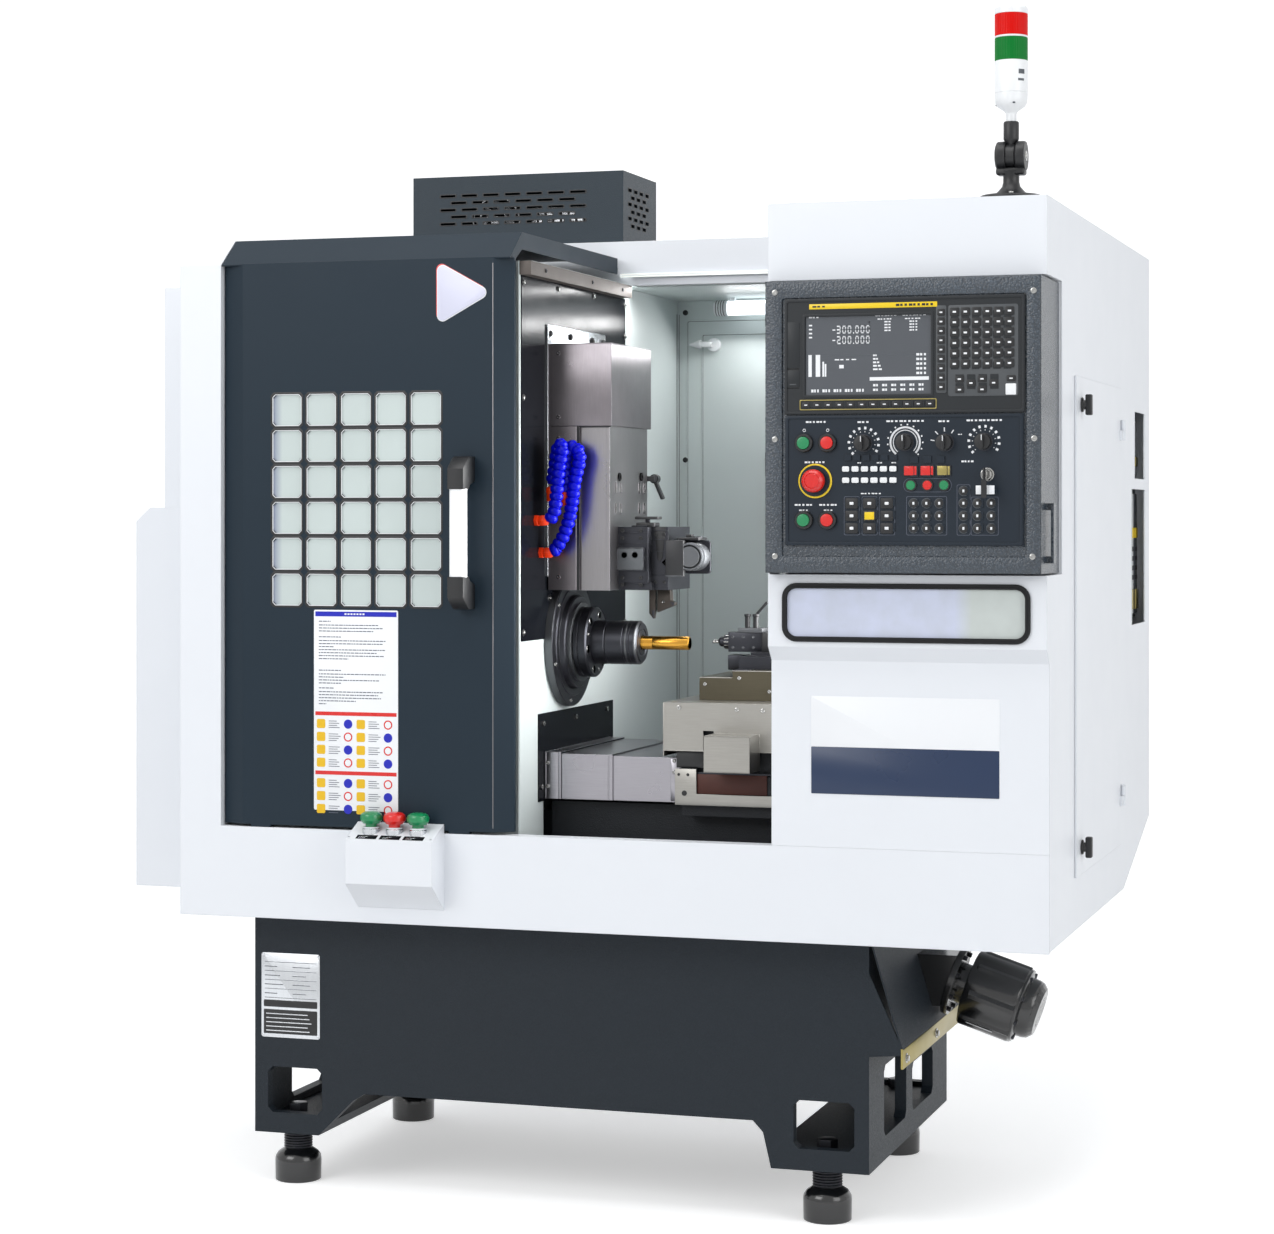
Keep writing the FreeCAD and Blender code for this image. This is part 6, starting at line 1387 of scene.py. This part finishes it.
def signal_tower():
    """Folding foot, swivel, pole, case, ribbed lenses and cap of the signal tower."""
    x, y, roof, pivot = 822, -598, 1823, 1898
    spot, hinge = (x, y), (y, pivot)
    foot = Shape(BLACK)
    foot.turned("z", spot, [(0, 56), (3.4, 56), (6, 53.5), (7, 50), (8.5, 30), (13, 24),
                            (22, 16), (30, 14), (41, 14), (49, 18)], 64, roof)
    for start, end in ((x - 26, x - 8), (x + 8, x + 26)):
        foot.turned("x", hinge, [(start, 0), (start, 20), (start + 2, 24.5), (start + 4, 26),
                                 (end - 3, 26), (end, 24.6), (end, 0)], 48)
    foot.block((x - 25, x + 25), (y - 14, y + 14), (pivot - 33, pivot - 20), 4, 3)
    foot.tint(GROUND)
    for side in (-1, 1):
        foot.turned("x", hinge, [(26, 9), (27, 8.6), (27, 0)], 32, x, side)
        foot.turned("x", hinge, [(27, 5), (28, 4.6), (28, 0)], 6, x, side)
    foot.screws("z", [polar(44, math.radians(a), spot) for a in (40, 160, 280)], roof + 7, 1,
                4.2, 2.6)
    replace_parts(foot.piece("tower_foot", "frame", "black_plastic"), "tower_base")
    head = Shape(WHITE_PLASTIC)
    head.tint(BLACK).turned("x", hinge, [(-7.6, 0), (-7.6, 21), (7.6, 21), (7.6, 0)], 40, x)
    head.turned("z", spot, [(12, 7), (20, 9), (27, 12.4), (30, 13.4), (58, 13.4), (60, 12.2)],
                40, pivot)
    head.tint(WHITE_PLASTIC).turned("z", spot, [
        (58, 9.4), (74, 9.4), (78, 12), (86, 24), (92, 27.6), (100, 28.4), (108, 28.9),
        (108.6, 28.3), (109.4, 28.3), (110, 29), (163, 29), (165, 28.2)], 64, pivot)
    head.turned("z", spot, [(2102.6, 27.8), (2103.4, 28.6), (2105.6, 28.6), (2106.4, 27.8)], 64)
    head.turned("z", spot, [(2144, 28), (2145, 28.8), (2154, 28.8), (2157.4, 26.5), (2159, 21),
                            (2159, 0)], 64)
    head.tint(GREY_KEY)
    for a in (-70, 50, 170):
        head.block((26, 28.4), (-2.2, 2.2), (-1.4, 1.4), 0.5, turn=spun((x, y, 1988), a, "Z"))
    for z0, z1, a in ((2038, 2046, -42), (2026, 2030, -44)):
        head.block((28.2, 29.2), (-6, 6), (z0, z1), 0.2, turn=spun((x, y, 0), a, "Z"))
    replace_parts(head.piece("tower_column", "tower", "white_plastic"), "tower_head")
    lens = Shape(LENS_GREEN)
    for material, low, top in ((LENS_GREEN, 2063, 2102.6), (LENS_RED, 2106.4, 2144)):
        lens.tint(material).slab("z", ribbed(spot, 28.6, 28.0, 2, 96), low, top, 0.3)
        lens.tint(WHITE_PLASTIC).turned("z", spot, [(low + 1, 12), (top - 1, 12)], 32)
    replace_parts(lens.piece("tower_lens_rings", "tower", "lens_plastic"), "tower_lenses")


# ---------------------------------------------------------------- palm buttons

def palm_station():
    """Mushroom buttons with flared skirts, their bright collars, black plates and screws."""
    box_low, box_high = corners("palm_button_box")
    trim = Shape(DARK_PLATE)
    tilt, seat = math.degrees(math.atan2(26, 60)), 704
    for node, body, material, slot in (
            ("palm_button_left", "palm_left", GREEN_CAP, "green_plastic"),
            ("palm_button_middle", "palm_middle", RED_CAP, "red_plastic"),
            ("palm_button_right", "palm_right", GREEN_CAP, "green_plastic")):
        low, high = corners(node)
        x = (low.x + high.x) / 2
        spot = (x, (low.y + high.y) / 2)
        cap = Shape(material)
        cap.turned("z", spot, [(low.z, 0), (low.z, 10.8), (710, 10.8), (710, 15.4), (712, 17),
                               (716, 20.2), (722, 20.8), (727, 19), (730.5, 14), (732, 7),
                               (732, 0)], 48)
        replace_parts(cap.piece(node + "_cap", body, slot), node)
        trim.tint(ALUMINIUM).turned("z", spot, [(-14, 15), (-14, 16.4), (-4, 16.4), (-2.5, 15),
                                                (-2.5, 11.6), (-12, 11.6)], 40, seat)
        slope = spun((x, box_low.y + 1, 683), tilt)
        trim.tint(DARK_PLATE).block((-20, 20), (1.5, 15), (0.2, 1.1), 0.3, turn=slope)
        trim.tint(ALUMINIUM).block((-15, -2), (4, 5), (1.0, 1.3), turn=slope)
        trim.block((-15, 2), (8, 9), (1.0, 1.3), turn=slope)
    trim.screws("z", [(x, box_low.y + 6) for x in (box_low.x + 5, box_high.x - 5)], 686, 1,
                2.2, 1.2)
    trim.piece("palm_box_trim", "frame", "aluminium")


# ---------------------------------------------------------------- base, feet, chute, motor

def leveling_feet():
    """Domed pads, threaded sleeves and hexagon heads under the four legs."""
    feet = Shape(BLACK_GLOSS)
    thread = [(61, 24)]
    for z in range(62, 97, 5):
        thread += [(z, 24.6), (z + 1.6, 27.4), (z + 3, 27.4), (z + 4.4, 24.6)]
    for spot in ((x, y) for x in (-582, 465) for y in (-480, 102)):
        feet.tint(BLACK_GLOSS)
        feet.turned("z", spot, [(0, 0), (0, 42), (1.5, 44), (38, 44.5), (46, 43.6),
                                (54, 38), (60, 28.5), (61, 27), (61, 20)], 64)
        feet.tint(DARK_STEEL).turned("z", spot, thread + [(98.8, 24.6), (99, 15), (129, 15)], 48)
        feet.turned("z", spot, [(129, 15), (129.2, 19), (146, 19.4), (147, 17), (147, 0)], 6)
    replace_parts(feet.piece("feet_turned", "frame", "black_steel"), "leveling_feet")


def name_plate():
    """A bare plate with four rivets and ruled fields, on the front of the base."""
    plate = Front(-540, ALUMINIUM)
    plate.plate((-631, -510, 281, 442), 4, 1.2, 0.2, 0.4).tint(GREY_KEY)
    for k in range(5):
        z = 424 - 17 * k
        plate.bar((-624, -517, z, z + 0.9), 1.45, -1.1)
        plate.bar((-624, -598 + 6 * (k % 3), z - 9, z - 7.6), 1.45, -1.1)
        plate.bar((-566, -530 - 8 * (k % 2), z - 9, z - 7.6), 1.45, -1.1)
    plate.tint(BLACK).plate((-626, -515, 288, 334), 2, 1.5, -1.1, 0.1)
    plate.plate((-626, -515, 339, 352), 2, 1.5, -1.1, 0.1).tint(ALUMINIUM)
    for k in range(5):
        z = 325 - 8 * k
        plate.bar((-621, -535 + 4 * (k % 3), z, z + 1.6), 1.7, -1.4)
    for x in (-627, -514):
        for z in (285, 438):
            plate.stud((x, z), [(1, 2.4), (2, 2.2), (2.6, 1.2), (2.7, 0)], 16)
    plate.piece("base_blank_plate", "frame", "aluminium")


def chute_lip():
    """Bright lip along the chute's foot with its bolts, on the outer side of the plate."""
    low, high = corners("chip_chute")
    lip = Shape(KHAKI)
    lip.block((high.x - 0.1, high.x + 1.2), (low.y + 1, high.y - 1), (low.z, low.z + 34), 0.4)
    lip.block((high.x - 3, high.x + 1.2), (low.y - 1, low.y + 1.5), (low.z, low.z + 36), 0.4)
    lip.tint(GROUND)
    for y in (low.y + 26, (low.y + high.y) / 2, high.y - 26):
        spot = (y, low.z + 16)
        lip.turned("x", spot, [(1.2, 9), (2.4, 9), (2.4, 0)], 24, high.x)
        lip.turned("x", spot, [(2.4, 6), (6.4, 6), (6.4, 0)], 6, high.x)
    lip.piece("chute_lip_trim", "frame", "stainless_sheet")


def gear_motor():
    """Ribbed gear case, bolted end bell and flange of the tilted chip-conveyor motor."""
    tilt = math.radians(18)
    place = aimed((627, -200, 404), (math.cos(tilt), 0, -math.sin(tilt)))
    drive = Shape(BLACK_GLOSS)
    drive.turned("z", (0, 0), [(11, 0), (11, 64), (13, 66), (22, 66), (24, 64), (24, 38),
                               (44, 38), (46, 50), (48, 64)], 48, turn=place)
    drive.slab("z", [polar(73.4, math.radians(22.5 + 45 * k + off)) for k in range(8)
                     for off in (-7, 7)], 46, 148, 4, turn=place)
    for k in range(8):
        for z in (66, 84, 102, 120):
            drive.block((66.4, 69.6), (-18, 18), (z, z + 3), 0.8,
                        turn=place @ spun((0, 0, 0), 45 * k, "Z"))
    drive.turned("z", (0, 0), [(146, 70), (152, 70), (154, 66), (156, 57), (170, 56), (178, 53),
                               (184, 46), (186, 30), (186, 0)], 48, turn=place)
    drive.tint(DARK_STEEL)
    for k in range(8):
        angle = math.radians(22.5 + 45 * k)
        for radius, profile, sides in (
                (61, [(151, 5.4), (157, 5.4), (157.6, 4.6), (157.6, 2.6), (155, 2.4), (155, 0)],
                 18), (55, [(24, 5), (29, 5), (29.6, 4), (29.6, 0)], 6)):
            drive.turned("z", (0, 0), profile, sides,
                         turn=place @ spun((*polar(radius, angle), 0), 0))
    drive.tint(PAPER).block((69.4, 70.4), (-20, 20), (66, 118), 0.3,
                            turn=place @ spun((0, 0, 0), -112, "Z"))
    drive.piece("gear_motor_ribbed", "frame", "black_steel")


# ---------------------------------------------------------------- right side

def side_latches():
    """T-handled latches with round bases."""
    for node, body in (("side_latch_low", "latch_low"), ("side_latch_high", "latch_high")):
        low, high = corners(node)
        spot = ((low.y + high.y) / 2, (low.z + high.z) / 2)
        latch = Shape(BLACK)
        latch.turned("x", spot, [(low.x, 0), (low.x, 7.8), (899.6, 7.8)], 28)
        latch.turned("x", spot, [(899.6, 13.5), (901.2, 13.5), (902.6, 12), (902.8, 9),
                                 (908, 8.2)])
        latch.block((906.5, high.x), (low.y, high.y), (low.z, high.z), 2.6, 3)
        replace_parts(latch.piece(node + "_handle", body, "black_plastic"), node)


def drive_modules():
    """Faces of the drive modules behind the vents, the lower ones grey and white by turns."""
    modules = Shape(GREY_KEY)
    right = corners("electrical_modules")[1].x
    for k in range(3):
        y = 472 + 52 * k
        modules.tint((GREY_KEY, WHITE_PLASTIC)[k % 2])
        modules.block((right - 1, right + 6), (y, y + 44), (1068, 1322), 2)
        modules.tint(KHAKI).block((right + 5, right + 10), (y + 4, y + 40), (1078, 1120), 1.4)
        modules.tint(YELLOW).block((right + 5, right + 9), (y + 6, y + 38), (1228, 1250), 1.2)
        modules.tint(BLACK)
        for z in (1140, 1160, 1180, 1200):
            modules.block((right + 5.6, right + 8), (y + 8, y + 34), (z, z + 10), 1)
        modules.tint(WHITE_PLASTIC).block((right - 1, right + 6), (y, y + 44), (1362, 1476), 2)
        modules.tint(KHAKI).block((right + 5, right + 9), (y + 6, y + 38), (1380, 1400), 1.2)
    modules.piece("drive_module_faces", "frame", "black_plastic")


# ---------------------------------------------------------------- stage, camera and light

def place_in_scene(name, data, spot=(0, 0, 0), turn=(0, 0, 0)):
    thing = bpy.data.objects.new(name, data)
    thing.location = spot
    thing.rotation_euler = turn
    bpy.context.scene.collection.objects.link(thing)
    return thing


def stage():
    """A pale floor that curves up into a backdrop."""
    ground = bpy.data.meshes.new("ground")
    form = bmesh.new()
    reach, start, bend, height = 14.0, 3.6, 2.5, 9.0
    rows = [(-reach, 0.0)]
    rows += [(start + bend * math.sin(t), bend - bend * math.cos(t))
             for t in (math.radians(15 * k) for k in range(7))]
    rows.append((start + bend, height))
    lines = [[form.verts.new((x, y, z)) for x in (-reach, reach)] for y, z in rows]
    for one, two in zip(lines, lines[1:]):
        form.faces.new((one[0], one[1], two[1], two[0]))
    form.to_mesh(ground)
    form.free()
    ground.polygons.foreach_set("use_smooth", [True] * len(ground.polygons))
    g = Graph("pale_floor")
    g.paint({"Base Color": g.blend(g.noise(1.5, 2.0), linear("#F0F0F0"), linear("#F4F4F4")),
             "Roughness": 0.8, "Specular IOR Level": 0.1, "Emission Color": (1, 1, 1, 1),
             "Emission Strength": g.math("MULTIPLY", g.seen(), 0.45)})
    ground.materials.append(g.owner)
    floor = place_in_scene("stage_floor", ground)


def daylight():
    """A soft world light; what the camera sees of the world itself is white."""
    g = Graph("studio", bpy.data.worlds)
    bpy.context.scene.world = g.owner
    g.tree.nodes.clear()
    out = g.add("OutputWorld")
    soft = g.add("Background", Color=(0.96, 0.98, 1.0, 1), Strength=0.62)
    plain = g.add("Background", Color=(1, 1, 1, 1), Strength=1.0)
    seen = g.seen(use_clamp=True)
    mix = g.add("MixShader")
    g.link(seen, mix.inputs[0])
    g.link(soft.outputs[0], mix.inputs[1])
    g.link(plain.outputs[0], mix.inputs[2])
    g.link(mix.outputs[0], out.inputs["Surface"])


def lamp(name, spot, target, size, power, spread=180):
    data = bpy.data.lights.new(name, "AREA")
    data.shape = "RECTANGLE"
    data.size, data.size_y = size
    data.energy = power
    data.spread = math.radians(spread)
    way = Vector(target) - Vector(spot)
    place_in_scene(name, data, spot, way.to_track_quat("-Z", "Y").to_euler())


def camera():
    data = bpy.data.cameras.new("photo_view")
    data.sensor_width = 36.0
    data.sensor_fit = "HORIZONTAL"
    data.lens = 80.55
    data.shift_y = -0.0782
    data.clip_end = 60.0
    turn = (math.radians(90), 0, math.radians(17.79))
    spot = (1.714665, -5.504907, 1.27182)
    bpy.context.scene.camera = place_in_scene("photo_view", data, spot, turn)


for make in (door_grid, door_handle, door_marker, door_sheet, door_trim, control_frame,
             display_bezel, display_screen, display_keys, panel_prints, panel_keys, panel_rings,
             panel_controls, cabinet_window, cabinet_plates, spindle_nose, splash_screws,
             back_wall, vertical_slide, slide_cover_trim, tool_station, coolant_hoses,
             cover_seams, carriage_trim, drilling_unit, chamber_lights, vent_box, signal_tower,
             palm_station, leveling_feet, name_plate, chute_lip, gear_motor, side_latches,
             drive_modules, stage, daylight, camera):
    make()
lamp("key_softbox", (-2.4, -4.6, 3.4), (0, 0, 0.9), (3.0, 2.4), 95)
lamp("fill_softbox", (4.4, -2.6, 2.2), (0.4, 0, 1.0), (2.6, 2.6), 55)
lamp("top_softbox", (0.2, -1.2, 4.4), (0, 0, 1.2), (3.2, 2.4), 60)
lamp("chamber_strip", (0.15, -0.02, 1.735), (0.12, -0.2, 0.9), (0.46, 0.03), 0.95)
lamp("chamber_lamp", (0.17, 0.32, 1.69), (0.15, 0.0, 1.0), (0.28, 0.05), 0.9)
lamp("chamber_side", (0.37, -0.36, 1.2), (-0.6, -0.44, 1.16), (0.4, 0.66), 5.6, 120)
bpy.context.scene.view_settings.view_transform = "Standard"


def plain(bounds):
    return [[float(c) for c in corner] for corner in bounds]
